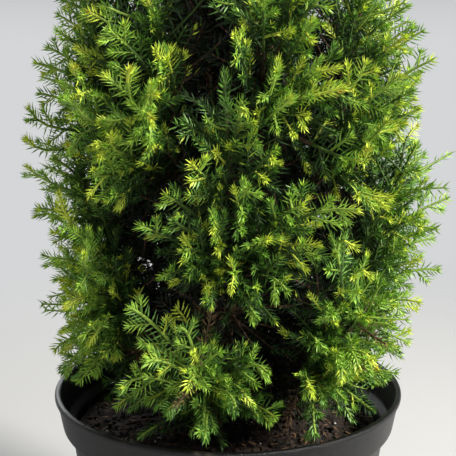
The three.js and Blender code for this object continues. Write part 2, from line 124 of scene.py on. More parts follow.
def ring(radius: float, height: float, sides: int) -> np.ndarray:
    """Returns the points of a level ring round the upright axis."""
    return np.array([around(radius, angle, height) for angle in turns(sides)])


def wobble(x: float, y: float, z: float) -> float:
    """Returns smooth repeatable noise at a place, from about -1 to 1."""
    return noise.noise(Vector((x, y, z)))


def curve(ends: Sequence[np.ndarray], steps: int) -> np.ndarray:
    """Samples a cubic curve.

    Args:
        ends: Its start, two control points and end.
        steps: How many stretches it is cut into.

    Returns:
        The points along it, one more than steps.
    """
    t = np.linspace(0, 1, steps + 1)[:, None]
    a, b, c, d = ends
    return a * (1 - t) ** 3 + 3 * b * t * (1 - t) ** 2 + 3 * c * t**2 * (1 - t) + d * t**3


class Path:
    """A line through points, which tells the place and the direction at a distance along it."""

    def __init__(self, points: np.ndarray) -> None:
        """Measures the line.

        Args:
            points: The points that it passes through.
        """
        self.points = points
        steps = np.linalg.norm(np.diff(points, axis=0), axis=1)
        self.marks = np.concatenate(([0.0], np.cumsum(steps)))
        self.length = float(self.marks[-1])

    def at(self, distance: np.ndarray) -> np.ndarray:
        """Returns the places at distances along the line."""
        columns = [np.interp(distance, self.marks, self.points[:, k]) for k in range(3)]
        return np.stack(columns, axis=-1)

    def way(self, distance: np.ndarray) -> np.ndarray:
        """Finds the line's direction from two places near each distance.

        Args:
            distance: The distances along the line.

        Returns:
            The directions there.
        """
        reach = 0.02 * self.length + 0.2
        near = np.clip(distance - reach, 0, self.length)
        far = np.clip(distance + reach, 0, self.length)
        return unit(self.at(far) - self.at(near))

    def spot(self, mark: float) -> tuple[np.ndarray, np.ndarray]:
        """Returns the place and the direction at one distance along the line."""
        distance = np.array([mark])
        return self.at(distance)[0], self.way(distance)[0]


class Shape:
    """Points and faces gathered for one mesh."""

    def __init__(self) -> None:
        """Starts empty."""
        self.points: list[np.ndarray] = []
        self.faces: list[np.ndarray] = []
        self.count = 0

    def add(self, points: np.ndarray, *groups: np.ndarray) -> None:
        """Adds points and the faces between them.

        Args:
            points: The points, by 3.
            groups: Arrays of faces, which count those points from 0.
        """
        self.points.append(points.reshape(-1, 3))
        self.faces += [faces + self.count for faces in groups]
        self.count += len(self.points[-1])

    @property
    def triangles(self) -> int:
        """Returns how many triangles the faces come to."""
        return sum(len(faces) * (faces.shape[1] - 2) for faces in self.faces)

    def solid(self, name: str, material: Optional[bpy.types.Material] = None) -> bpy.types.Object:
        """Makes a smooth object.

        Args:
            name: The object's name.
            material: What it is made of.

        Returns:
            The new object, with its mesh in metres.
        """
        points = np.concatenate(self.points) * MM
        corners = np.concatenate([faces.ravel() for faces in self.faces])
        sizes = np.concatenate([np.full(len(faces), faces.shape[1]) for faces in self.faces])
        starts = np.concatenate(([0], np.cumsum(sizes)[:-1]))
        mesh = bpy.data.meshes.new(name)
        mesh.vertices.add(len(points))
        mesh.vertices.foreach_set("co", points.astype(np.float32).ravel())
        mesh.loops.add(len(corners))
        mesh.loops.foreach_set("vertex_index", corners.astype(np.int32))
        mesh.polygons.add(len(sizes))
        mesh.polygons.foreach_set("loop_start", starts.astype(np.int32))
        mesh.polygons.foreach_set("use_smooth", np.ones(len(sizes), dtype=bool))
        mesh.update(calc_edges=True)
        if material is not None:
            mesh.materials.append(material)
        made = bpy.data.objects.new(name, mesh)
        bpy.context.scene.collection.objects.link(made)
        return made

    def piece(self, name: str, material: bpy.types.Material, slot: str) -> bpy.types.Object:
        """Makes an object that rides on the plant's one body.

        Args:
            name: The object's name.
            material: What it is made of.
            slot: The record's material slot that its finish belongs to. It is not used.

        Returns:
            The new object.
        """
        made = self.solid(name, material)
        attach(made, "root")
        log.info("%s: %d triangles", name, self.triangles)
        return made


def ring_faces(rows: int, sides: int) -> np.ndarray:
    """Joins rows of points that each close on themselves.

    Args:
        rows: How many rows there are.
        sides: How many points a row has.

    Returns:
        The four-sided faces between them.
    """
    row, side = np.meshgrid(np.arange(rows - 1), np.arange(sides), indexing="ij")
    here = row * sides + side
    over = row * sides + (side + 1) % sides
    return np.stack([here, over, over + sides, here + sides], axis=-1).reshape(-1, 4)


def closed_faces(rows: int, sides: int) -> list[np.ndarray]:
    """Joins rows of points into a tube that is closed at both ends.

    Args:
        rows: How many rows there are.
        sides: How many points a row has.

    Returns:
        The faces of its wall, its first end and its last.
    """
    k = np.arange(1, sides - 1)
    first = np.stack([np.zeros_like(k), k + 1, k], axis=1)
    last = first[:, ::-1] + (rows - 1) * sides
    return [ring_faces(rows, sides), first, last]


def tubes(lines: np.ndarray, faces: np.ndarray, radii: np.ndarray, sides: int) -> Mesh:
    """Builds many slim tubes at once, open at their ends.

    Args:
        lines: Their points, in an array of tubes by rows by 3.
        faces: A direction across each tube, by 3.
        radii: Their radii, by rows.
        sides: How many sides they have.

    Returns:
        The points and the faces of them all.
    """
    count, rows, _ = lines.shape
    along = np.gradient(lines, axis=1)
    side = unit(np.cross(along, faces[:, None, :]))[:, :, None, :]
    other = unit(np.cross(along, side[:, :, 0, :]))[:, :, None, :]
    angle = turns(sides)[:, None]
    spread = side * np.cos(angle) + other * np.sin(angle)
    points = lines[:, :, None, :] + spread * radii[:, :, None, None]
    first = np.arange(count)[:, None, None] * rows * sides
    return points.reshape(-1, 3), (ring_faces(rows, sides)[None] + first).reshape(-1, 4)


def lump(dice: np.random.Generator, centre: np.ndarray, size: Sequence[float], sides: int = 6) -> Mesh:
    """Builds a small rough chip or grain: two uneven rings between two points.

    Args:
        dice: The source of chance.
        centre: Where it lies.
        size: Its half length, half width and half height.
        sides: How many corners its rings have.

    Returns:
        Its points and its faces.
    """
    angle = turns(sides) + dice.uniform(0, 1)
    local = [(0.1, 0.05, -0.9), (0.0, -0.1, 0.95)]
    for width, height in ((0.9, -0.45), (1.0, 0.35)):
        local += [(width * math.cos(a), width * math.sin(a), height) for a in angle]
    points = np.array(local) * dice.uniform(0.58, 1.2, (len(local), 1)) * np.array(size)
    turn = dice.uniform(0, 2 * math.pi)
    tilt = dice.normal(0, 0.35)
    points = np.array([turned(turned(p, np.array((1.0, 0, 0)), tilt), UP, turn) for p in points])
    low = 2 + np.arange(sides)
    low_after = 2 + (np.arange(sides) + 1) % sides
    high, high_after = low + sides, low_after + sides
    corners = [
        (np.zeros_like(low), low_after, low),
        (np.ones_like(low), high, high_after),
        (low, low_after, high_after),
        (low, high_after, high),
    ]
    return points + centre, np.concatenate([np.stack(group, axis=1) for group in corners])


def rounded(profile: Sequence[Sequence[float]], steps: int) -> np.ndarray:
    """Rounds the corners of a profile.

    Args:
        profile: Its corners as (radius, height, how far the rounding reaches).
        steps: How many stretches a rounding is cut into.

    Returns:
        The points of the profile, by 2.
    """
    most = 0.48
    corners = np.array([place[:2] for place in profile], dtype=float)
    points = []
    for k, place in enumerate(profile):
        if k in (0, len(profile) - 1) or place[2] == 0:
            points.append(corners[k])
            continue
        back, on = corners[k - 1] - corners[k], corners[k + 1] - corners[k]
        reach = min(place[2], most * np.linalg.norm(back), most * np.linalg.norm(on))
        start, end = corners[k] + unit(back) * reach, corners[k] + unit(on) * reach
        for t in np.linspace(0, 1, steps + 1):
            points.append(start * (1 - t) ** 2 + corners[k] * 2 * t * (1 - t) + end * t**2)
    return np.array(points)


# Shader recipes


class Signal:
    """A value in a recipe that Python's arithmetic works on."""

    def __init__(self, recipe: "Recipe", socket: Optional[bpy.types.NodeSocket]) -> None:
        """Wraps a socket of a recipe's node."""
        self.recipe = recipe
        self.socket = socket

    def _math(self, operation: str, first: "Number", second: "Number") -> "Signal":
        """Returns the result of one Math node."""
        return self.recipe.node("ShaderNodeMath", {"operation": operation}, {0: first, 1: second})

    def __add__(self, other: "Number") -> "Signal":
        """Returns self + other."""
        return self._math("ADD", self, other)

    def __radd__(self, other: "Number") -> "Signal":
        """Returns other + self."""
        return self._math("ADD", other, self)

    def __sub__(self, other: "Number") -> "Signal":
        """Returns self - other."""
        return self._math("SUBTRACT", self, other)

    def __rsub__(self, other: "Number") -> "Signal":
        """Returns other - self."""
        return self._math("SUBTRACT", other, self)

    def __mul__(self, other: "Number") -> "Signal":
        """Returns self * other."""
        return self._math("MULTIPLY", self, other)

    def __rmul__(self, other: "Number") -> "Signal":
        """Returns other * self."""
        return self._math("MULTIPLY", other, self)

    def ramp(self, low: float, high: float) -> "Signal":
        """Makes a mask with a smooth rise.

        Args:
            low: Where it starts to rise from 0.
            high: Where it reaches 1.

        Returns:
            The mask.
        """
        settings = {"interpolation_type": "SMOOTHSTEP"}
        inputs = {"Value": self, "From Min": low, "From Max": high}
        return self.recipe.node("ShaderNodeMapRange", settings, inputs)


Number = Union[float, Signal]
Paint = Union[Colour, Signal]


class Recipe:
    """The nodes of a material or of the world."""

    def __init__(self, tree: bpy.types.NodeTree) -> None:
        """Empties a tree of nodes and keeps it."""
        tree.nodes.clear()
        self.tree = tree

    def node(
        self, kind: str, settings: dict, inputs: dict, output: Union[int, str, None] = 0
    ) -> Signal:
        """Adds any node.

        Args:
            kind: The node's type.
            settings: Its own settings, which are set first.
            inputs: The value or signal for each of its sockets that isn't left as it is.
            output: Which of its outputs is wanted, or None for a node that has none.

        Returns:
            The output as a signal.
        """
        made = self.tree.nodes.new(kind)
        for name, value in settings.items():
            setattr(made, name, value)
        for key, value in inputs.items():
            if isinstance(value, Signal):
                self.tree.links.new(value.socket, made.inputs[key])
            else:
                made.inputs[key].default_value = value
        return Signal(self, None if output is None else made.outputs[output])

    def blend(self, share: Number, first: Paint, second: Paint) -> Signal:
        """Returns a colour that lies a share of the way from the first to the second."""
        ends = [c if isinstance(c, Signal) else (*c, 1.0) for c in (first, second)]
        return self.node("ShaderNodeMix", {"data_type": "RGBA"}, {0: share, 6: ends[0], 7: ends[1]}, 2)


class Skin(Recipe):
    """The nodes of one material, which ends in a principled surface."""

    def __init__(self, name: str) -> None:
        """Starts an empty material.

        Args:
            name: The material's name.
        """
        self.material = bpy.data.materials.new(name)
        self.material.use_nodes = True
        super().__init__(self.material.node_tree)
        self.place = self.node("ShaderNodeTexCoord", {}, {}, "Object")

    def grain(self, size: float, detail: float = 2.0, stretch: float = 1.0) -> Signal:
        """Adds noise over the surface.

        Args:
            size: About how far apart its blots are, in millimetres.
            detail: How many finer layers it has.
            stretch: How much longer the blots are upwards than across.

        Returns:
            A signal from 0 to 1.
        """
        scale = (1.0, 1.0, 1.0 / stretch)
        place = self.node("ShaderNodeMapping", {}, {"Vector": self.place, "Scale": scale})
        inputs = {"Vector": place, "Scale": 1.0 / (size * MM), "Detail": detail}
        return self.node("ShaderNodeTexNoise", {}, inputs)

    def height(self) -> Signal:
        """Returns the height over the pot's foot in metres."""
        return self.node("ShaderNodeSeparateXYZ", {}, {0: self.place}, 2)

    def bump(self, height: Signal, depth: float, strength: float) -> Signal:
        """Returns the surface's normal with relief of a depth in millimetres."""
        inputs = {"Strength": strength, "Distance": depth * MM, "Height": height}
        return self.node("ShaderNodeBump", {}, inputs)

    def surface(self, inputs: dict) -> bpy.types.Material:
        """Ends the recipe in a principled surface.

        Args:
            inputs: The values or signals for its sockets.

        Returns:
            The material.
        """
        shader = self.node("ShaderNodeBsdfPrincipled", {}, inputs)
        self.node("ShaderNodeOutputMaterial", {}, {"Surface": shader}, None)
        return self.material


# Finishes


class Tone(IntEnum):
    """The colours of needles, from painted shade deep in the crown to its lit tips, and dead ones."""

    SHADE = 0
    HALF_SHADE = 1
    GREEN = 2
    LIME = 3
    GOLD = 4
    AMBER = 5
    DRY = 6


@dataclass(frozen=True)
class NeedleFinish:
    """Soft needles of one colour, a little uneven from one to the next."""

    tone: Tone
    colour: Colour
    gloss: float
    dull: float = 0.78
    bright: float = 1.18

    @property
    def name(self) -> str:
        """Returns the tone's name as pieces and materials have it."""
        return self.tone.name.lower()

    def material(self) -> bpy.types.Material:
        """Makes the needles' material.

        Returns:
            The material.
        """
        skin = Skin(f"needle_{self.name}")
        dull = tuple(c * self.dull for c in self.colour)
        bright = tuple(min(1.0, c * self.bright) for c in self.colour)
        colour = skin.blend(skin.grain(2.5, 1.0).ramp(0.3, 0.7), dull, bright)
        rough = skin.grain(1.2, 0.0) * 0.16 + (self.gloss - 0.08)
        return skin.surface({"Base Color": colour, "Roughness": rough, "Specular IOR Level": 0.45})


@dataclass(frozen=True)
class BarkFinish:
    """Thin fibrous bark, with darker cracks that run up the limb."""

    name: str
    crack: Colour = (0.035, 0.018, 0.010)
    body: Colour = (0.150, 0.075, 0.038)
    ridge: Colour = (0.300, 0.185, 0.110)
    relief: float = 0.5

    def material(self) -> bpy.types.Material:
        """Makes the bark's material.

        Returns:
            The material.
        """
        skin = Skin(self.name)
        strands = skin.grain(1.1, 4.0, 7.0)
        blots = skin.grain(9.0, 2.0, 2.0)
        under = skin.blend(strands.ramp(0.30, 0.52), self.crack, self.body)
        colour = skin.blend(strands.ramp(0.5, 0.72) * blots.ramp(0.35, 0.6), under, self.ridge)
        relief = skin.bump(strands + skin.grain(0.5, 2.0) * 0.35, self.relief, 0.9)
        rough = blots * 0.15 + 0.76
        return skin.surface({"Base Color": colour, "Roughness": rough, "Normal": relief})


@dataclass(frozen=True)
class ShootFinish:
    """The soft skin of a young shoot."""

    name: str
    colour: Colour
    dull: float = 0.76

    def material(self) -> bpy.types.Material:
        """Makes the shoots' material.

        Returns:
            The material.
        """
        skin = Skin(self.name)
        dull = tuple(c * self.dull for c in self.colour)
        colour = skin.blend(skin.grain(1.5, 2.0, 3.0).ramp(0.3, 0.65), dull, self.colour)
        rough = skin.grain(1.0, 1.0) * 0.2 + 0.45
        return skin.surface({"Base Color": colour, "Roughness": rough, "Specular IOR Level": 0.35})


@dataclass(frozen=True)
class PotFinish:
    """Black moulded plastic with a fine texture, faint draw lines, scuffs and dried splashes."""

    plastic: Colour = (0.0055, 0.0055, 0.006)
    scuff: Colour = (0.022, 0.022, 0.023)
    dust: Colour = (0.085, 0.062, 0.043)
    rim: float = 112.0
    dusty_rim: float = 9.0
    dusty_foot: float = 26.0

    def material(self) -> bpy.types.Material:
        """Makes the pot's material.

        Returns:
            The material.
        """
        skin = Skin("black_plastic")
        height = skin.height()
        cloud = skin.grain(14.0, 4.0)
        fine = skin.grain(1.6, 3.0)
        scuffs = skin.grain(5.0, 3.0, 0.12).ramp(0.60, 0.74) * 0.5
        top = height.ramp((self.rim - self.dusty_rim) * MM, self.rim * MM)
        foot = 1 - height.ramp(0.0, self.dusty_foot * MM)
        splash = (cloud.ramp(0.48, 0.72) * (foot * 0.6 + top * 0.5 + 0.12)) * fine.ramp(0.35, 0.7)
        colour = skin.blend(scuffs, self.plastic, self.scuff)
        colour = skin.blend(splash, colour, self.dust)
        draw = skin.grain(2.2, 1.0, 0.02)
        relief = skin.bump(skin.grain(0.35, 1.0) * 0.5 + draw, 0.12, 0.7)
        rough = splash * 0.4 + scuffs * 0.2 + fine * 0.12 + 0.29
        look = {"Base Color": colour, "Roughness": rough, "Specular IOR Level": 0.32, "Normal": relief}
        return skin.surface(look)


@dataclass(frozen=True)
class CompostFinish:
    """Moist compost: near-black crumbs with brown fibres between them."""

    crumb: Colour = (0.008, 0.0055, 0.004)
    earth: Colour = (0.036, 0.022, 0.014)
    fibre: Colour = (0.105, 0.064, 0.036)

    def material(self) -> bpy.types.Material:
        """Makes the compost's material.

        Returns:
            The material.
        """
        skin = Skin("compost")
        crumbs = skin.grain(2.4, 5.0)
        fibres = skin.grain(1.3, 3.0)
        colour = skin.blend(crumbs.ramp(0.35, 0.62), self.crumb, self.earth)
        colour = skin.blend(fibres.ramp(0.62, 0.72), colour, self.fibre)
        relief = skin.bump(crumbs + fibres * 0.4, 1.2, 1.0)
        rough = crumbs * 0.2 + 0.78
        return skin.surface({"Base Color": colour, "Roughness": rough, "Normal": relief})


@dataclass(frozen=True)
class GrainFinish:
    """Bits on the compost, each blotched between two colours."""

    name: str
    dark: Colour
    light: Colour
    size: float

    def material(self) -> bpy.types.Material:
        """Makes the bits' material.

        Returns:
            The material.
        """
        skin = Skin(self.name)
        blots = skin.grain(self.size, 4.0)
        colour = skin.blend(blots.ramp(0.35, 0.65), self.dark, self.light)
        relief = skin.bump(blots, 0.3, 0.8)
        rough = blots * 0.15 + 0.75
        return skin.surface({"Base Color": colour, "Roughness": rough, "Normal": relief})


@dataclass(frozen=True)
class FloorFinish:
    """A plain pale matt floor, which fades into the backdrop between two distances in metres."""

    colour: Colour = (0.62, 0.615, 0.60)
    near: float = 0.20
    far: float = 0.95
    dull: float = 0.985

    def material(self) -> bpy.types.Material:
        """Makes the floor's material.

        Returns:
            The material.
        """
        skin = Skin("pale_floor")
        dull = tuple(c * self.dull for c in self.colour)
        colour = skin.blend(skin.grain(90.0, 2.0), dull, self.colour)
        distance = skin.node("ShaderNodeVectorMath", {"operation": "LENGTH"}, {0: skin.place}, 1)
        shown = 1 - distance.ramp(self.near, self.far)
        return skin.surface({"Base Color": colour, "Roughness": 0.85, "Alpha": shown})


NEEDLES = (
    # The two darkest tones are painted shade, dealt to needles deep in the crown; the lighter of them
    # also goes to needles low at its foot.
    NeedleFinish(Tone.SHADE, (0.008, 0.018, 0.007), 0.65),
    NeedleFinish(Tone.HALF_SHADE, (0.036, 0.091, 0.020), 0.5),
    NeedleFinish(Tone.GREEN, (0.138, 0.305, 0.043), 0.45),
    NeedleFinish(Tone.LIME, (0.318, 0.545, 0.062), 0.45),
    NeedleFinish(Tone.GOLD, (0.625, 0.760, 0.075), 0.45),
    NeedleFinish(Tone.AMBER, (0.780, 0.520, 0.050), 0.5),
    NeedleFinish(Tone.DRY, (0.190, 0.110, 0.048), 0.75),
)


# Pot and compost


@dataclass
class Pot:
    """A thin moulded pot with a deeper band and a rolled lip, and holes in its floor."""

    height: float = 112.0
    rim_radius: float = 70.4
    foot_radius: float = 50.0
    wall: float = 1.3
    floor: float = 2.2
    collar_height: float = 14.0
    collar_step: float = 3.0
    lip_height: float = 2.2
    lip_step: float = 0.9
    step_height: float = 9.8
    sides: int = 160
    out_of_round: float = 0.0014
    drain_radius: float = 4.5
    drain_circle: float = 37.0
    drain_sides: int = 20
    drains: int = 8
    crease: float = 35.0
    finish: PotFinish = PotFinish()

    def wall_radius(self, height: float) -> float:
        """Returns the radius of the wall's outside at a height."""
        top = self.rim_radius - self.lip_step - self.collar_step
        return mix(self.foot_radius, top, height / self.height)

    def profile(self) -> np.ndarray:
        """Draws the profile, from the middle of the foot over the lip to the floor's middle.

        Returns:
            Its points, by 2.
        """
        band = self.height - self.collar_height
        lip = self.height - self.lip_height
        outer = [
            (0, 0, 0),
            (self.foot_radius - 5.5, 0, 0.3),
            (self.foot_radius - 0.2, 0, 1.4),
            (self.wall_radius(self.step_height - 0.8), self.step_height - 0.8, 0.6),
            (self.wall_radius(self.step_height) - 0.35, self.step_height, 0.3),
            (self.wall_radius(self.step_height + 0.8), self.step_height + 0.8, 0.6),
            (self.wall_radius(band - 1.6), band - 1.6, 1.0),
            (self.wall_radius(band) + self.collar_step, band + 0.2, 1.0),
            (self.rim_radius - self.lip_step, lip - 0.1, 0.35),
            (self.rim_radius, lip + 0.3, 0.5),
            (self.rim_radius, self.height, 0.95),
        ]
        inner = [
            (self.rim_radius - self.lip_step - self.wall, self.height, 0.9),
            (self.wall_radius(band) + self.collar_step - self.wall, band + self.wall, 1.0),
            (self.wall_radius(band) - self.wall, band - self.wall, 1.0),
            (self.foot_radius - self.wall, self.floor, 1.6),
            (0, self.floor, 0),
        ]
        return rounded(outer + inner, 4)

    def build(self) -> None:
        """Makes the pot in place of its solid."""
        body, angle = self.profile()[1:-1], turns(self.sides)
        height = np.repeat(body[:, 1:2], self.sides, axis=1)
        wave = 1 + self.out_of_round * np.sin(2 * angle + 0.7) * (height / self.height)
        radius = body[:, 0:1] * wave
        rows = np.stack([radius * np.cos(angle), radius * np.sin(angle), height], axis=-1)
        middles = [(0, 0, 0), (0, 0, self.floor)]
        under = len(body) * self.sides
        first = np.arange(self.sides)
        after = (first + 1) % self.sides
        last = under - self.sides
        foot = np.stack([np.full_like(first, under), after, first], axis=1)
        floor = np.stack([np.full_like(first, under + 1), last + first, last + after], axis=1)
        shape = Shape()
        points = np.concatenate([rows.reshape(-1, 3), middles])
        shape.add(points, ring_faces(len(body), self.sides), foot, floor)
        made = shape.piece("moulded_pot", self.finish.material(), "pot")
        self._drill(made)
        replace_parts(made, "pot")

    def _drill(self, made: bpy.types.Object) -> None:
        """Cuts the drain holes through the pot's floor and settles the cut into its mesh.

        Args:
            made: The pot.
        """
        shape = Shape()
        for turn in turns(self.drains):
            rows = [ring(self.drain_radius, z, self.drain_sides) for z in (-2.0, self.floor + 2.0)]
            place = around(self.drain_circle, turn, 0)
            shape.add(np.concatenate(rows) + place, *closed_faces(2, self.drain_sides))
        cutter = shape.solid("drill")
        cut = made.modifiers.new("drains", "BOOLEAN")
        cut.operation, cut.solver, cut.object = "DIFFERENCE", "EXACT", cutter
        graph = bpy.context.evaluated_depsgraph_get()
        graph.update()
        whole = bpy.data.meshes.new_from_object(made.evaluated_get(graph))
        made.modifiers.clear()
        made.data = whole
        whole.polygons.foreach_set("use_smooth", np.ones(len(whole.polygons), dtype=bool))
        whole.set_sharp_from_angle(angle=math.radians(self.crease))
        bpy.data.objects.remove(cutter)


@dataclass
class Compost:
    """Crumbly compost with bits of bark, fallen needles and a few white grains on it."""

    pot: Pot
    top: float = 97.0
    floor_gap: float = 0.3
    inset: float = 1.8
    foot_inset: float = 17.0
    edge_drop: float = 2.6
    middle: float = 0.4
    rings: int = 54
    sides: int = 200
    chips: int = 300
    grains: int = 30
    crumbs: int = 1300
    fallen: int = 220
    seed: int = 7

    @property
    def edge(self) -> float:
        """Returns the radius of the compost's top."""
        return self.pot.wall_radius(self.top - self.edge_drop) - self.inset

    def surface_height(self, x: float, y: float) -> float:
        """Finds the height of the compost's crumbly top.

        Args:
            x: The place across the pot.
            y: The place from front to back.

        Returns:
            The height there.
        """
        radius = math.hypot(x, y)
        edge = clamp((radius - 22) / 40)
        mound = 2.2 * math.exp(-((radius / 9) ** 2))
        swell = wobble(x * 0.06, y * 0.06, 1.0) * 1.6
        crumbs = wobble(x * 0.28, y * 0.28, 4.0) * 1.3
        clods = 0.9 - 1.8 * noise.voronoi(Vector((x * 0.3, y * 0.3, 2.0)))[0][0]
        fine = wobble(x * 0.75, y * 0.75, 8.0) * 0.6
        return self.top - self.edge_drop * edge * edge + mound + swell + crumbs + clods + fine - 0.6

    def build(self) -> None:
        """Makes the compost in place of its solid, and what lies on it."""
        rows = []
        for radius in np.linspace(self.middle, self.edge, self.rings):
            row = ring(radius, 0.0, self.sides)
            row[:, 2] = [self.surface_height(x, y) for x, y, _ in row]
            rows.append(row)
        for height in (90.0, 60.0, 30.0, self.pot.floor + 2.0):
            rows.append(ring(self.pot.wall_radius(height) - self.inset, height, self.sides))
        rows.append(ring(self.edge - self.foot_inset, self.pot.floor + self.floor_gap, self.sides))
        shape = Shape()
        outwards = [faces[:, ::-1] for faces in closed_faces(len(rows), self.sides)]
        shape.add(np.concatenate(rows), *outwards)
        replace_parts(shape.piece("compost_bed", CompostFinish().material(), "compost"), "compost")
        self._bits(np.random.default_rng(self.seed))

    def _spot(self, dice: np.random.Generator, inset: float, lift: float) -> tuple[np.ndarray, float]:
        """Picks a place on the compost by chance.

        Args:
            dice: The source of chance.
            inset: How far inside the edge it keeps.
            lift: How far over the compost it lies.

        Returns:
            The place, and its turn round the pot.
        """
        radius, turn = (self.edge - inset) * math.sqrt(dice.random()), dice.uniform(0, 2 * math.pi)
        place = around(radius, turn, 0)
        place[2] = self.surface_height(place[0], place[1]) + lift
        return place, turn

    def _bits(self, dice: np.random.Generator) -> None:
        """Strews bark chips, white grains, crumbs and fallen needles over the compost.

        Args:
            dice: The source of chance.
        """
        chips, grains, crumbs, fallen = Shape(), Shape(), Shape(), Shape()
        for _ in range(self.chips):
            place, _ = self._spot(dice, 2.5, 0.2)
            length = 0.8 + 2.4 * dice.random() ** 2
            chips.add(*lump(dice, place, (length, length * dice.uniform(0.25, 0.55), length * 0.3)))
        for _ in range(self.grains):
            place, _ = self._spot(dice, 2.5, 0.2)
            size = dice.uniform(0.4, 1.1)
            grains.add(*lump(dice, place, (size, size * 0.85, size * 0.75)))
        for _ in range(self.crumbs):
            place, _ = self._spot(dice, 2.5, 0.2)
            size = 0.5 + 1.1 * dice.random() ** 2
            crumbs.add(*lump(dice, place, (size, size * dice.uniform(0.6, 1), size * 0.7), 4))
        beds = []
        for _ in range(self.fallen):
            place, turn = self._spot(dice, 3, 0.7)
            way = unit(np.array((math.cos(turn * 3), math.sin(turn * 3), dice.normal(0, 0.12))))
            across = unit(np.cross(way, UP))
            size = dice.uniform(3.5, 5.5), 0.85
            beds.append(np.concatenate([place, way, across, np.cross(across, way), size]))
        fallen.add(*needle_mesh(np.array(beds)))
        crumb = GrainFinish("compost_crumb", (0.010, 0.007, 0.005), (0.060, 0.036, 0.022), 2.5)
        chip = GrainFinish("bark_chip", (0.022, 0.013, 0.008), (0.125, 0.072, 0.040), 1.2)
        grain = GrainFinish("white_grain", (0.48, 0.47, 0.43), (0.74, 0.73, 0.70), 1.0)
        needle = GrainFinish("fallen_needle", (0.16, 0.08, 0.035), (0.36, 0.21, 0.09), 4.0)
        crumbs.piece("compost_crumbs", crumb.material(), "compost")
        chips.piece("bark_chips", chip.material(), "compost")
        grains.piece("white_grains", grain.material(), "compost")
        fallen.piece("fallen_needles", needle.material(), "foliage")


# How it grows


@dataclass(frozen=True)
class Eye:
    """The camera, which looks at the plant's front and a little down, and what its pixels see."""

    distance: float = 310.0
    height: float = 225.0
    pitch: float = 9.0
    lens: float = 61.4
    sensor: float = 36.0
    image: float = 456.0

    @property
    def place(self) -> np.ndarray:
        """Returns where it stands."""
        return np.array((0.0, -self.distance, self.height))

    def way(self, pixel: tuple[int, int]) -> np.ndarray:
        """Finds the direction that a pixel of the photograph looks in.

        Args:
            pixel: The pixel, from the photograph's top left corner.

        Returns:
            The direction.
        """
        focal, middle = self.lens / self.sensor * self.image, self.image / 2
        across, rise = (pixel[0] - middle) / focal, (middle - pixel[1]) / focal
        c, s = math.cos(math.radians(self.pitch)), math.sin(math.radians(self.pitch))
        return unit(np.array((across, c + rise * s, rise * c - s)))


@dataclass(frozen=True)
class Trunk:
    """The line and the thickness of the trunk, which leans a little and wavers as it climbs."""

    foot: float = 97.0
    top: float = 322.0
    foot_radius: float = 4.4
    tip_radius: float = 1.1
    taper: float = 0.8
    lean: float = 5.0
    sway: float = 2.5
    flare_radius: float = 2.2
    flare_height: float = 5.0
    side_wave: float = 5.2
    depth_wave: float = 4.1
    depth_start: float = 0.4
    depth_share: float = 0.7

    def point(self, height: float) -> np.ndarray:
        """Finds the middle of the trunk.

        Args:
            height: The height that is asked for.

        Returns:
            The middle there.
        """
        share = (height - self.foot) / (self.top - self.foot)
        x = self.lean * share + self.sway * math.sin(share * self.side_wave)
        wave = math.sin(share * self.depth_wave + self.depth_start) - math.sin(self.depth_start)
        y = self.depth_share * self.sway * wave
        return np.array((x, y, height))

    def radius(self, height: float) -> float:
        """Finds the trunk's radius, with the spread of its foot.

        Args:
            height: The height that is asked for.

        Returns:
            The radius there.
        """
        share = max(0.0, (height - self.foot) / (self.top - self.foot))
        flare = self.flare_radius * math.exp(-(height - self.foot) / self.flare_height)
        return mix(self.foot_radius, self.tip_radius, share**self.taper) + flare

    def axis(self, height: float) -> np.ndarray:
        """Returns the sideways place of the trunk at a height, or of its top above that."""
        return self.point(min(height, self.top)) * LEVEL


@dataclass(frozen=True)
class Crown:
    """The crown's outline: fullest at the waist, drawn in at the foot, pointed at the top."""

    foot: float = 108.0
    waist: float = 201.0
    top: float = 380.0
    radius: float = 82.0
    foot_inset: float = 0.2
    point: float = 1.75
    shade_depth: float = 30.0
    steps: int = 200

    def radius_at(self, height: float) -> float:
        """Finds the crown's radius.

        Args:
            height: The height that is asked for.

        Returns:
            The radius there.
        """
        if height < self.waist:
            below = (self.waist - height) / (self.waist - self.foot)
            return self.radius * (1 - self.foot_inset * below * below)
        above = clamp((height - self.waist) / (self.top - self.waist))
        return self.radius * (1 - above**self.point)

    def even_heights(self, count: int) -> np.ndarray:
        """Shares the crown's surface evenly among tips.

        Args:
            count: How many tips there are.

        Returns:
            Their heights.
        """
        heights = np.linspace(self.foot, self.top, self.steps + 1)
        radii = np.array([self.radius_at(height) for height in heights])
        slant = np.hypot(np.diff(radii), np.diff(heights))
        areas = np.concatenate(([0.0], np.cumsum((radii[1:] + radii[:-1]) * slant)))
        return np.interp((np.arange(count) + 0.5) / count * areas[-1], areas, heights)


@dataclass(frozen=True)
class Tier:
    """Boughs that leave the trunk at about one height, at turns in degrees.

    The foot and the tip of each mass's stem are given as a radius and a height.
    """

    name: str
    turns: tuple[float, ...]
    root: float
    foot: tuple[float, float]
    tip: tuple[float, float]


TIERS = (
    Tier("skirt", (14, 72, 128, 180, 258, 316), 108, (33, 117), (62, 145)),
    Tier("low", (25, 70, 115, 159, 203, 266, 338), 122, (36, 146), (62, 212)),
    Tier("middle", (20, 75, 128, 182, 236, 283, 326), 156, (33, 200), (52, 268)),
    Tier("high", (40, 130, 235, 310), 205, (20, 254), (34, 318)),
    Tier("crest", (20, 140, 255), 258, (9, 302), (16, 352)),
)


@dataclass(frozen=True)
class Mass:
    """One mass of foliage: where its bough leaves the trunk, and its stem's foot and tip."""

    name: str
    item: int
    angle: float
    root: Optional[np.ndarray]
    foot: np.ndarray
    tip: np.ndarray

    @property
    def way(self) -> np.ndarray:
        """Returns the direction of the stem."""
        return unit(self.tip - self.foot)

    @property
    def length(self) -> float:
        """Returns the length of the stem."""
        return float(np.linalg.norm(self.tip - self.foot))

    @property
    def centre(self) -> np.ndarray:
        """Returns the middle of the stem."""
        return (self.tip + self.foot) / 2


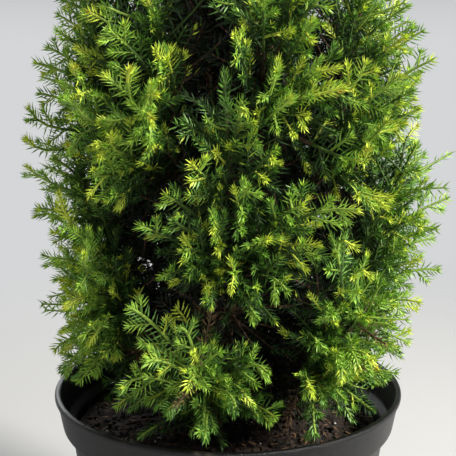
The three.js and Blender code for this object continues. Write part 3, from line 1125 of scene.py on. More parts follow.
@dataclass
class Branching:
    """Boughs, stems and the spaces of the masses, by the rule that the solids grow by."""

    trunk: Trunk = field(default_factory=Trunk)
    crown: Crown = field(default_factory=Crown)
    stagger: float = 14.0
    rise_spread: float = 5.0
    reach_spread: float = 0.12
    root_rise: float = 0.6
    root_climb: float = 1.2
    tip_rise: float = 1.3
    leader_item: int = 99
    leader_tip: float = 369.0
    leader_lean: float = 1.5
    uprightness: float = 0.6
    growing_angle: float = 0.6
    tip_unevenness: float = 0.09
    valley_width: float = 12.0
    valley_depth: float = 0.1
    bough_radius: float = 1.75
    bough_to_trunk: float = 0.6
    bough_climb: float = 0.75
    bough_start: float = 0.4
    bough_end: float = 0.35
    stem_radius: float = 1.1
    lowest_twig: float = 0.05
    highest_twig: float = 0.94

    def __post_init__(self) -> None:
        """Plans every mass."""
        self.masses = []
        for row, tier in enumerate(TIERS):
            self.masses += [self._mass(tier, row, k) for k in range(len(tier.turns))]
        foot = self.trunk.point(self.trunk.top)
        tip = foot + np.array((self.leader_lean, 0.0, self.leader_tip - self.trunk.top))
        self.masses.append(Mass("leader", self.leader_item, 0.0, None, foot, tip))
        self.centres = np.array([mass.centre for mass in self.masses])
        self.weights = np.array((1.0, 1.0, self.uprightness**2))
        apart = self.centres[:, None, :] - self.centres[None, :, :]
        self.apart = np.sqrt((apart**2 * self.weights).sum(axis=2))

    def _mass(self, tier: Tier, row: int, k: int) -> Mass:
        """Plans the mass of one bough.

        Args:
            tier: The bough's tier.
            row: The tier's place in the list.
            k: The bough's place in the tier.

        Returns:
            The plan.
        """
        item = row * 10 + k
        angle = math.radians(tier.turns[k])
        rise = ((k % 2) - 0.5) * self.stagger + (roll(item, Trait.RISE) - 0.5) * self.rise_spread
        reach = 1 + (roll(item, Trait.REACH) - 0.5) * self.reach_spread

        def place(at: tuple[float, float], share: float) -> np.ndarray:
            """Returns a place of the mass from its radius and height in the tier."""
            height = at[1] + rise * share
            return around(at[0] * reach, angle, height) + self.trunk.axis(height)

        root = self.trunk.point(tier.root + rise * self.root_rise + k * self.root_climb)
        foot, tip = place(tier.foot, 1), place(tier.tip, self.tip_rise)
        return Mass(f"{tier.name}_{k + 1}", item, angle, root, foot, tip)

    def depth(self, points: np.ndarray, number: int) -> np.ndarray:
        """Tells how far at least points lie inside a mass's own space.

        Args:
            points: The points, by 3.
            number: The mass's place in the list.

        Returns:
            The depths, below 0 outside the space.
        """
        squares = ((points[:, None, :] - self.centres[None]) ** 2 * self.weights).sum(axis=2)
        with np.errstate(divide="ignore", invalid="ignore"):
            depths = (squares - squares[:, number : number + 1]) / (2 * self.apart[number])
        depths[:, number] = np.inf
        return depths.min(axis=1)

    def nearest(self, point: np.ndarray) -> int:
        """Returns the number of the mass whose space a point lies in."""
        return int(((point - self.centres) ** 2 * self.weights).sum(axis=1).argmin())

    def twig_foot(self, mass: Mass, tip: np.ndarray) -> np.ndarray:
        """Finds where a twig leaves its stem so that it grows at the plant's angle.

        Args:
            mass: The mass that it belongs to.
            tip: Where it ends.

        Returns:
            Its foot, on the stem.
        """
        reach = tip - mass.foot
        climb = float(reach @ mass.way)
        aside = math.sqrt(max(0.0, float(reach @ reach) - climb * climb))
        share = (climb - aside / math.tan(self.growing_angle)) / mass.length
        share = clamp(share, self.lowest_twig, self.highest_twig)
        return mass.foot + (mass.tip - mass.foot) * share

    def inward(self, points: np.ndarray) -> np.ndarray:
        """Measures how far points lie inside the crown's outline, on the level.

        Args:
            points: The points, by 3.

        Returns:
            The distances, below 0 outside it.
        """
        axes = np.array([self.trunk.axis(height) for height in points[:, 2]])
        radii = np.array([self.crown.radius_at(height) for height in points[:, 2]])
        return radii - np.hypot(points[:, 0] - axes[:, 0], points[:, 1] - axes[:, 1])

    def bough_line(self, mass: Mass, steps: int) -> np.ndarray:
        """Draws a mass's bough from the trunk to its stem.

        Args:
            mass: The mass.
            steps: How many stretches the bough is cut into.

        Returns:
            Its points.
        """
        span = float(np.linalg.norm(mass.foot - mass.root))
        outwards = unit(around(1, mass.angle, self.bough_climb))
        start = mass.root + outwards * span * self.bough_start
        end = mass.foot - mass.way * span * self.bough_end
        return curve((mass.root, start, end, mass.foot), steps)

    def seen_at(self, eye: Eye, pixel: tuple[int, int], depth: float) -> np.ndarray:
        """Finds the place in the crown that a pixel of the photograph sees.

        Args:
            eye: The camera.
            pixel: The pixel.
            depth: How far inside the crown's outline the place lies.

        Returns:
            The first such place, or the nearest that the line of sight comes to it.
        """
        middle, reach, step = eye.distance - 10, 120, 0.5
        marks = np.arange(middle - reach, middle + reach, step)[:, None]
        places = eye.place + eye.way(pixel) * marks
        places = places[(places[:, 2] > self.crown.foot) & (places[:, 2] < self.crown.top)]
        past = self.inward(places) - depth
        met = np.flatnonzero(past >= 0)
        return places[met[0] if len(met) else past.argmax()]


# Wood


@dataclass
class Limbs:
    """The trunk and the boughs, with strands of bark in relief."""

    branching: Branching
    sunk: float = 2.5
    flare: float = 12.0
    flare_rows: int = 9
    trunk_rows: int = 60
    first_row: float = 112.0
    row_length: float = 1.6
    trunk_sides: int = 32
    bough_sides: int = 12
    bough_steps: int = 16
    relief: float = 0.13
    collar: float = 0.7
    collar_fade: float = 9.0
    finish: BarkFinish = BarkFinish("bark")

    def _limb(
        self, shape: Shape, line: np.ndarray, radii: np.ndarray, sides: int, seed: float
    ) -> None:
        """Adds one limb whose skin has strands, knots and cracks.

        Args:
            shape: What it is added to.
            line: Its points.
            radii: Its radius at each point.
            sides: How many sides it has.
            seed: Sets its pattern apart from the others.
        """
        path = Path(line)
        rows = max(4, int(path.length / self.row_length))
        marks = np.linspace(0, path.length, rows)
        centres, along = path.at(marks), path.way(marks)
        thick = np.interp(marks, path.marks, radii)
        side = unit(np.cross(along[0], (0.3, 1.0, 0.1)))
        points = np.empty((rows, sides, 3))
        for row, mark in enumerate(marks):
            side = unit(side - along[row] * float(side @ along[row]))
            other = np.cross(along[row], side)
            for k, angle in enumerate(turns(sides)):
                c, s = math.cos(angle), math.sin(angle)
                strand = wobble(c * 2.6 + seed, s * 2.6, mark * 0.05)
                fine = wobble(c * 6.0, s * 6.0 + seed, mark * 0.16)
                knot = wobble(c * 0.9 + seed, s * 0.9, mark * 0.09)
                radius = thick[row] * (1 + self.relief * (strand + 0.6 * fine + 0.8 * knot))
                points[row, k] = centres[row] + (side * c + other * s) * radius
        shape.add(points, *closed_faces(rows, sides))

    def _trunk(self, shape: Shape) -> None:
        """Adds the trunk, from under the compost to its tip.

        Args:
            shape: What it is added to.
        """
        trunk = self.branching.trunk
        low = np.linspace(trunk.foot - self.sunk, trunk.foot + self.flare, self.flare_rows)
        heights = np.concatenate((low, np.linspace(self.first_row, trunk.top, self.trunk_rows)))
        line = np.array([trunk.point(height) for height in heights])
        radii = np.array([trunk.radius(max(height, trunk.foot)) for height in heights])
        self._limb(shape, line, radii, self.trunk_sides, 0.0)

    def _bough(self, shape: Shape, mass: Mass) -> None:
        """Adds the bough of one mass, with a collar where it leaves the trunk.

        Args:
            shape: What it is added to.
            mass: The mass that it carries.
        """
        branching = self.branching
        line = branching.bough_line(mass, self.bough_steps)
        most = branching.trunk.radius(mass.root[2]) * branching.bough_to_trunk
        share = np.linspace(0, 1, len(line))
        radii = mix(min(branching.bough_radius, most), branching.stem_radius, share)
        radii = radii + self.collar * np.exp(-share * self.collar_fade)
        self._limb(shape, line, radii, self.bough_sides, 3.0 + mass.item)

    def build(self) -> None:
        """Makes the trunk and its boughs as one piece."""
        shape = Shape()
        self._trunk(shape)
        borne = [mass for mass in self.branching.masses if mass.root is not None]
        for mass in borne:
            self._bough(shape, mass)
        made = shape.piece("trunk_and_boughs", self.finish.material(), "bark")
        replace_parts(made, "trunk", *[f"bough_{mass.name}" for mass in borne])


# Foliage


class Bark(IntEnum):
    """What covers a stretch of a shoot."""

    WOOD = 0
    GREEN = 1
    DIM = 2
    GOLD = 3


YOUNG_BARK = BarkFinish(
    "young_bark",
    crack=(0.03, 0.017, 0.010),
    body=(0.105, 0.058, 0.032),
    ridge=(0.20, 0.13, 0.075),
    relief=0.2,
)
SHOOTS = {
    Bark.WOOD: ("woody_twigs", YOUNG_BARK, "bark"),
    Bark.GREEN: ("green_shoots", ShootFinish("green_skin", (0.28, 0.42, 0.06)), "foliage"),
    Bark.DIM: ("shaded_shoots", ShootFinish("shaded_skin", (0.075, 0.135, 0.028)), "foliage"),
    Bark.GOLD: ("golden_shoots", ShootFinish("golden_skin", (0.60, 0.68, 0.08)), "foliage"),
}


@dataclass
class Shoot:
    """A leafy axis: its line, the way its flat side faces, and how far gold reaches from its tip."""

    line: np.ndarray
    face: np.ndarray
    radius: float
    bare: float
    gold: float
    dry: bool = False
    thick: bool = False


@dataclass(frozen=True)
class Bud:
    """Where a side shoot leaves its axis, the axis's direction there, its side and its length."""

    place: np.ndarray
    along: np.ndarray
    aside: np.ndarray
    length: float


@dataclass(frozen=True)
class ShadeShoots:
    """Shoots round a limb inside the crown: where they begin, how far apart they are, the longest."""

    start: float
    pitch: float
    length: float


TRUNK_SHOOTS = ShadeShoots(0.0, 1.0, 29.0)
BOUGH_SHOOTS = ShadeShoots(5.0, 1.2, 26.0)
STEM_SHOOTS = ShadeShoots(0.0, 1.65, 23.0)


@dataclass(frozen=True)
class Layer:
    """Twigs of one kind: where their tips lie in the crown, and how they are set with needles."""

    count: int
    reach: float
    first: int
    gold: float
    pitch: float
    size: float
    side_pitch: float
    side_angle: float
    room: float
    fine: bool

    @property
    def outer(self) -> bool:
        """Tells whether its tips are the crown's surface."""
        return self.reach == 1.0


SURFACE = Layer(
    count=430, reach=1.00, first=0, gold=0.30, pitch=1.0,
    size=1.00, side_pitch=5.0, side_angle=0.84, room=1.5, fine=True,
)
UNDER = Layer(
    count=372, reach=0.87, first=3000, gold=0.12, pitch=1.30,
    size=1.14, side_pitch=5.9, side_angle=0.88, room=2.0, fine=True,
)
DEEPER = Layer(
    count=250, reach=0.66, first=5000, gold=0.0, pitch=1.45,
    size=1.2, side_pitch=5.6, side_angle=0.95, room=5.0, fine=False,
)
INNER = Layer(
    count=0, reach=0.6, first=7000, gold=0.0, pitch=1.9,
    size=1.3, side_pitch=6.0, side_angle=1.05, room=12.0, fine=False,
)


@dataclass(frozen=True)
class Plume:
    """A twig that stands out: its tip's turn in degrees and height, its end's way, its gold."""

    turn: float
    height: float
    way: tuple[float, float, float]
    gold: float


@dataclass(frozen=True)
class SeenShoot:
    """A clear shoot of the photograph: the pixels of its tip and of a place down it, its gold."""

    tip: tuple[int, int]
    heel: tuple[int, int]
    gold: float


SEEN_SHOOTS = (
    SeenShoot((62, 194), (80, 285), 16),
    SeenShoot((113, 134), (100, 165), 9),
    SeenShoot((102, 157), (96, 130), 8),
    SeenShoot((77, 66), (62, 95), 7),
    SeenShoot((76, 99), (70, 130), 1),
    SeenShoot((131, 67), (120, 100), 7),
    SeenShoot((159, 94), (131, 91), 7),
    SeenShoot((153, 119), (134, 100), 9),
    SeenShoot((98, 169), (84, 195), 2),
    SeenShoot((88, 254), (78, 285), 3),
    SeenShoot((68, 306), (92, 286), 8),
    SeenShoot((68, 374), (80, 322), 3),
    SeenShoot((96, 324), (90, 350), 1),
    SeenShoot((276, 62), (268, 100), 2),
    SeenShoot((287, 97), (268, 118), 2),
    SeenShoot((337, 67), (304, 73), 8),
    SeenShoot((344, 88), (296, 100), 12),
    SeenShoot((245, 113), (246, 88), 2),
    SeenShoot((365, 62), (356, 100), 3),
    SeenShoot((366, 146), (363, 195), 10),
    SeenShoot((388, 199), (362, 200), 9),
    SeenShoot((357, 211), (326, 207), 4),
    SeenShoot((355, 247), (328, 225), 4),
    SeenShoot((368, 277), (343, 254), 4),
    SeenShoot((339, 380), (345, 335), 3),
    SeenShoot((357, 369), (352, 330), 3),
    SeenShoot((373, 368), (362, 330), 7),
    SeenShoot((398, 75), (372, 92), 4),
    SeenShoot((385, 120), (365, 150), 3),
)
LEFT_EDGE = (
    Plume(193, 213, (-0.35, -0.30, 0.89), 4),
    Plume(201, 203, (-0.55, -0.30, 0.78), 3),
    Plume(199, 224, (-0.25, -0.35, 0.90), 3),
    Plume(196, 131, (-0.60, -0.20, -0.77), 2),
)


@dataclass(frozen=True)
class Blade:
    """The points and faces of one needle of length and width one."""

    points: np.ndarray
    faces: np.ndarray


FOLDED = Blade(
    np.array([(0, 0, 0), (-0.5, 0.3, 0), (0, 0.38, -0.32), (0.5, 0.3, 0), (0, 1, 0)]),
    np.array([(0, 2, 1), (0, 3, 2), (1, 2, 4), (2, 3, 4)]),
)
FLAT = Blade(
    np.array([(0, 0, 0), (-0.5, 0.34, 0), (0.5, 0.34, 0), (0, 1, 0)]),
    np.array([(0, 2, 1), (1, 2, 3)]),
)
FLAT_TONES = (Tone.SHADE, Tone.DRY)
NEEDLE_BEND = 0.18


def needle_mesh(bed: np.ndarray, blade: Blade = FOLDED) -> Mesh:
    """Builds needles that bend a little towards their tips.

    Args:
        bed: Rows of 14 numbers: a needle's root, direction, across, face, length and width.
        blade: The shape of one.

    Returns:
        The points and the faces of them all.
    """
    root, along, across, face = (bed[:, None, k : k + 3] for k in (0, 3, 6, 9))
    length, width = bed[:, 12:13], bed[:, 13:14]
    aside, on, out = blade.points.T
    lift = width * out + length * NEEDLE_BEND * (on - on**2)
    points = root + along * (length * on)[..., None] + across * (width * aside)[..., None]
    points = points + face * lift[..., None]
    first = np.arange(len(bed))[:, None, None] * len(blade.points)
    return points.reshape(-1, 3), (blade.faces[None] + first).reshape(-1, blade.faces.shape[1])


@dataclass
class Growth:
    """Twigs and shoots, grown from the stems of the masses."""

    branching: Branching
    compost: Compost
    eye: Eye
    dice: np.random.Generator
    spray_twist: float = 2.0
    side_reach: float = 23.0
    shortest_twig: float = 12.0
    shortest_shoot: float = 4.5
    leafy_length: float = 62.0
    twig_room: float = 3.0
    straight_room: float = 4.0
    plume_room: float = 9.0
    border: float = 2.2
    over_reach: float = 3.0
    low_over_reach: float = 7.0
    low_tips: float = 135.0
    dry_height: float = 150.0
    skirt_flare: float = 0.07
    flare_top: float = 150.0
    flare_span: float = 35.0
    inside_rim: float = 5.4
    outside_rim: float = 1.2
    over_rim: float = 1.5
    over_soil: float = 2.0
    star_room: float = 8.0
    star_item: int = 9000
    tip_depth: float = 1.0
    heel_depth: float = 9.0
    lowest_shoot: float = 112.0
    twig_steps: int = 9
    leader_growth: float = 12.0
    leader_base: float = 0.45
    leader_bend: float = 0.5
    leader_radius: float = 0.95
    nod_top: float = 190.0
    nod_span: float = 80.0
    outward_pull: float = 0.35
    side_share: float = 0.46
    bare_foot: float = 2.0
    bare_tip: float = 4.0
    shortest_side: float = 5.5
    branched_length: float = 12.0
    straightening: float = 0.35
    droops: tuple[float, float] = (-0.1, 0.35)
    small_lengths: tuple[float, float] = (5.0, 8.5)
    small_pitch: float = 4.6
    missing_share: float = 0.45
    dry_twigs: float = 0.3
    dry_shoots: float = 0.14
    gold_foot: float = 120.0
    gold_span: float = 150.0
    plain_golds: tuple[float, float] = (-9.0, 1.0)
    rich_golds: tuple[float, float] = (3.0, 9.0)

    def __post_init__(self) -> None:
        """Places the twigs that stand out."""
        self.plumes = [self._seen(shoot) for shoot in SEEN_SHOOTS] + list(LEFT_EDGE)
        self.stars = np.array([self._plume_tip(plume) for plume in self.plumes])

    def _seen(self, shoot: SeenShoot) -> Plume:
        """Places a shoot of the photograph on the crown, to a degree and a millimetre.

        Args:
            shoot: The shoot.

        Returns:
            The twig that stands there.
        """
        tip = self.branching.seen_at(self.eye, shoot.tip, self.tip_depth)
        heel = self.branching.seen_at(self.eye, shoot.heel, self.heel_depth)
        out = tip - self.branching.trunk.axis(tip[2])
        turn = math.degrees(math.atan2(out[1], out[0])) % 360
        way = tuple(round(float(part), 2) for part in unit(tip - heel))
        return Plume(round(turn), round(float(tip[2])), way, shoot.gold)

    def _plume_tip(self, plume: Plume) -> np.ndarray:
        """Returns where the tip of a twig that stands out lies on the crown."""
        on_surface = self.branching.crown.radius_at(plume.height), math.radians(plume.turn)
        return around(*on_surface, plume.height) + self.branching.trunk.axis(plume.height)

    def tips(self, layer: Layer) -> Iterator[tuple[int, np.ndarray, int]]:
        """Spreads a layer's tips evenly over the crown by the golden turn.

        Args:
            layer: The layer of twigs.

        Yields:
            The item, the place of its tip and the number of the mass that owns it.
        """
        branching = self.branching
        for k, height in enumerate(branching.crown.even_heights(layer.count)):
            item = layer.first + k
            angle = item * GOLDEN_TURN
            axis, radius = branching.trunk.axis(height), branching.crown.radius_at(height)
            full = around(radius, angle, height) + axis
            number = branching.nearest(full)
            inside = float(branching.depth(full[None], number)[0])
            if layer.fine and inside < self.border:
                continue
            if layer.outer and np.linalg.norm(self.stars - full, axis=1).min() < self.star_room:
                continue
            valley = branching.valley_depth * max(0.0, 1 - inside / branching.valley_width)
            share = 1 - valley - branching.tip_unevenness * roll(item, Trait.TIP)
            flare = 1 + self.skirt_flare * clamp((self.flare_top - height) / self.flare_span)
            yield item, around(radius * share * layer.reach * flare, angle, height) + axis, number

    def _fits(self, points: np.ndarray, number: int, room: float) -> bool:
        """Tells whether a shoot keeps in its mass's space, in the outline and off the pot.

        Args:
            points: Places along the shoot.
            number: The number of its mass.
            room: How far it may cross into a neighbour's space.

        Returns:
            Whether it may grow there.
        """
        pot, radius, height = self.compost.pot, np.hypot(points[:, 0], points[:, 1]), points[:, 2]
        over_wall = radius > pot.rim_radius - self.inside_rim
        near_rim = (radius < pot.rim_radius + self.outside_rim) & (height < pot.height + self.over_rim)
        in_soil = ~over_wall & (height < self.compost.top + self.over_soil)
        if (over_wall & near_rim | in_soil).any():
            return False
        if float(self.branching.depth(points, number).min()) < -room:
            return False
        over = self.over_reach if height[-1] > self.low_tips else self.low_over_reach
        return float(self.branching.inward(points).min()) > -over

    def _gold(self, layer: Layer, height: float) -> float:
        """Deals out gold to a shoot's tip, more often high in the crown.

        Args:
            layer: The layer it belongs to.
            height: The height of its tip.

        Returns:
            How many millimetres of gold it has, which is none on many.
        """
        light = clamp((height - self.gold_foot) / self.gold_span)
        plain = self.dice.random() > layer.gold * (0.75 + 0.4 * light)
        return float(self.dice.uniform(*(self.plain_golds if plain else self.rich_golds)))

    def _nod(self, item: int, tip: np.ndarray, way: np.ndarray) -> np.ndarray:
        """Bends a twig's end outwards and down, most in the low ones.

        Args:
            item: Number of the twig.
            tip: Where it ends.
            way: The direction from its foot to its tip.

        Returns:
            The direction of its end.
        """
        outwards = unit((tip - self.branching.trunk.axis(tip[2])) * LEVEL)
        low = clamp((self.nod_top - tip[2]) / self.nod_span)
        nod = (0.15 + 0.75 * roll(item, Trait.NOD) ** 2) * (0.5 + 1.6 * low)
        return unit(way + self.outward_pull * outwards - nod * UP)

    def _bent(
        self, foot: np.ndarray, tip: np.ndarray, start: np.ndarray, end: np.ndarray
    ) -> np.ndarray:
        """Returns the line from foot to tip that sets out by start and comes in by end."""
        return curve((foot, foot + start, tip - end, tip), self.twig_steps)

    def twig(
        self, item: int, tip: np.ndarray, number: int, layer: Layer, plume: Optional[Plume] = None
    ) -> list[Shoot]:
        """Grows one twig from its stem to its tip, with its side shoots.

        Args:
            item: Number of the twig.
            tip: Where it ends.
            number: The number of its mass.
            layer: The layer it belongs to.
            plume: What sets it apart, if it is one that stands out.

        Returns:
            The twig and its shoots.
        """
        mass = self.branching.masses[number]
        foot = self.branching.twig_foot(mass, tip)
        reach = tip - foot
        span = float(np.linalg.norm(reach))
        if span < self.shortest_twig:
            return []
        way = reach / span
        start = unit(mass.way + way)
        end = self._nod(item, tip, way) if plume is None else np.array(plume.way)
        line = self._bent(foot, tip, start * span * 0.35, end * span * 0.33)
        if not self._fits(line[4:], number, self.twig_room if plume is None else self.plume_room):
            line = self._bent(foot, tip, way * span * 0.33, way * span * 0.33)
            if not self._fits(line[4:], number, self.straight_room):
                return []
        twist = (roll(item, Trait.TWIST) - 0.5) * self.spray_twist
        face = turned(unit(np.cross(way, UP)), way, twist)
        bare = max(0.18 * span, span - self.leafy_length)
        low = not layer.fine and tip[2] < self.dry_height
        dry = low and roll(item, Trait.DRY) < self.dry_twigs
        gold = self._gold(layer, tip[2]) if plume is None else plume.gold
        thick = 0.62 + 0.004 * span if layer.fine else 0.5
        main = Shoot(line, face, thick, bare, gold, dry, True)
        return [main, *self._side_shoots(main, number, layer, False)]

    def leader(self, number: int) -> list[Shoot]:
        """Grows the top of a mass's stem on to its tip, with shoots all round it.

        Args:
            number: The number of the mass.

        Returns:
            The leader and its shoots.
        """
        mass = self.branching.masses[number]
        tip = mass.tip + mass.way * self.leader_growth
        base = mass.foot + (mass.tip - mass.foot) * self.leader_base
        across = unit(np.cross(mass.way, (0.2, 1.0, 0.3)))
        bend = (roll(mass.item, Trait.LEADER_BEND) - 0.5) * self.leader_bend
        end = turned(mass.way, across, bend)
        span = float(np.linalg.norm(tip - base))
        line = self._bent(base, tip, mass.way * span * 0.33, end * span * 0.3)
        face = unit(np.cross(mass.way, (0.4, 0.9, 0.1)))
        gold = self._gold(SURFACE, tip[2])
        main = Shoot(line, face, self.leader_radius, 0.0, gold, False, True)
        return [main, *self._side_shoots(main, number, SURFACE, True)]

    def clothe(self, line: np.ndarray, plan: ShadeShoots) -> list[Shoot]:
        """Grows shade shoots all round a limb inside the crown.

        Args:
            line: The limb's points.
            plan: How they are set.

        Returns:
            The shoots.
        """
        path, shoots = Path(line), []
        for step, mark in enumerate(np.arange(plan.start, path.length, plan.pitch)):
            place, along = path.spot(mark)
            across = unit(np.cross(along, (0.5, 0.8, 0.3)))
            aside = turned(across, along, step * WHORL_TURN)
            dry = place[2] < self.dry_height and self.dice.random() < self.dry_shoots
            limb = Shoot(line, unit(np.cross(along, aside)), 0.6, 0.0, 0.0, dry)
            bud = Bud(place, along, aside, plan.length * self.dice.uniform(0.6, 1.1))
            shoots += self._side_shoot(limb, self.branching.nearest(place), INNER, bud)
        return shoots

    def inside(self) -> list[Shoot]:
        """Grows the shade shoots on the trunk, on the boughs and on the masses' stems.

        Returns:
            The shoots.
        """
        trunk = self.branching.trunk
        heights = np.linspace(self.lowest_shoot, trunk.top, 30)
        shoots = self.clothe(np.array([trunk.point(height) for height in heights]), TRUNK_SHOOTS)
        for mass in self.branching.masses:
            if mass.root is not None:
                shoots += self.clothe(self.branching.bough_line(mass, 8), BOUGH_SHOOTS)
            shoots += self.clothe(np.array([mass.foot, mass.centre, mass.tip]), STEM_SHOOTS)
        return shoots

    def _side_shoots(self, main: Shoot, number: int, layer: Layer, whorled: bool) -> list[Shoot]:
        """Grows the side shoots of a twig, longest near its foot, each with a few smaller ones.

        Args:
            main: The twig.
            number: The number of its mass.
            layer: The layer it belongs to.
            whorled: Whether shoots leave it all round, and not from side to side.

        Returns:
            The shoots.
        """
        path, shoots = Path(main.line), []
        leafy = path.length - main.bare
        longest = min(self.side_reach, self.side_share * leafy)
        mark = main.bare + self.bare_foot
        turn = 1 if self.dice.random() < 0.5 else -1
        step = 0
        while mark < path.length - self.bare_tip:
            share = (mark - main.bare) / leafy
            place, along = path.spot(mark)
            length = longest * (1 - share) ** 0.65 * (0.65 + 0.35 * min(1, share * 5))
            length = max(self.shortest_side, length * self.dice.uniform(0.6, 1.15))
            across, lean = unit(np.cross(main.face, along)), self.dice.normal(0, 0.38)
            if whorled:
                aside = turned(across, along, step * WHORL_TURN)
            else:
                aside = turned(across * turn, along, lean)
            grown = self._side_shoot(main, number, layer, Bud(place, along, aside, length))
            turn, step = -turn, step + 1
            mark += layer.side_pitch * self.dice.uniform(0.75, 1.25)
            shoots += grown
            if grown and length > self.branched_length and layer.fine:
                shoots += self._small_shoots(grown[0], number, layer)
        return shoots

    def _side_shoot(self, main: Shoot, number: int, layer: Layer, bud: Bud) -> list[Shoot]:
        """Grows one side shoot, shortened until it fits.

        Args:
            main: The axis that it leaves.
            number: The number of its mass.
            layer: The layer it belongs to.
            bud: Where and how it starts.

        Returns:
            The one shoot, or none where there is no room.
        """
        place, along = bud.place, bud.along
        angle = layer.side_angle * self.dice.uniform(0.8, 1.2)
        out = along * math.cos(angle) + bud.aside * math.sin(angle)
        droop = self.dice.uniform(*self.droops)
        end = unit(out + along * self.straightening - UP * droop)
        face = unit(turned(main.face, out, self.dice.normal(0, 0.4)))
        face = unit(face - out * float(face @ out))
        for share in (1.0, 0.75, 0.5):
            size = bud.length * share
            if size < self.shortest_shoot:
                return []
            tip = place + (out * 0.6 + end * 0.4) * size
            line = curve((place, place + out * size * 0.35, tip - end * size * 0.35, tip), 3)
            if self._fits(line[1:], number, layer.room):
                gold = self._gold(layer, tip[2]) * clamp(size / 14, 0.4, 1)
                return [Shoot(line, face, 0.44 + 0.009 * size, 0.6, gold, main.dry)]
        return []

    def _small_shoots(self, parent: Shoot, number: int, layer: Layer) -> list[Shoot]:
        """Grows a few short shoots on a side shoot.

        Args:
            parent: The side shoot.
            number: The number of its mass.
            layer: The layer it belongs to.

        Returns:
            The short shoots.
        """
        path, shoots = Path(parent.line), []
        turn = 1 if self.dice.random() < 0.5 else -1
        for mark in np.arange(path.length * 0.3, path.length * 0.8, self.small_pitch):
            turn = -turn
            if self.dice.random() < self.missing_share:
                continue
            place, along = path.spot(mark)
            across = unit(np.cross(parent.face, along)) * turn
            aside = turned(across, along, self.dice.normal(0, 0.4))
            bud = Bud(place, along, aside, self.dice.uniform(*self.small_lengths))
            shoots += self._side_shoot(parent, number, layer, bud)
        return shoots

    def grow(self, layer: Layer) -> list[Shoot]:
        """Grows the twigs of one layer.

        Args:
            layer: The layer.

        Returns:
            Its twigs and their shoots.
        """
        if layer is INNER:
            return self.inside()
        grown = [shoot for tip in self.tips(layer) for shoot in self.twig(*tip, layer)]
        if layer.outer:
            for number in range(len(self.branching.masses)):
                grown += self.leader(number)
            for k, plume in enumerate(self.plumes):
                number = self.branching.nearest(self.stars[k])
                grown += self.twig(self.star_item + k, self.stars[k], number, layer, plume)
        return grown


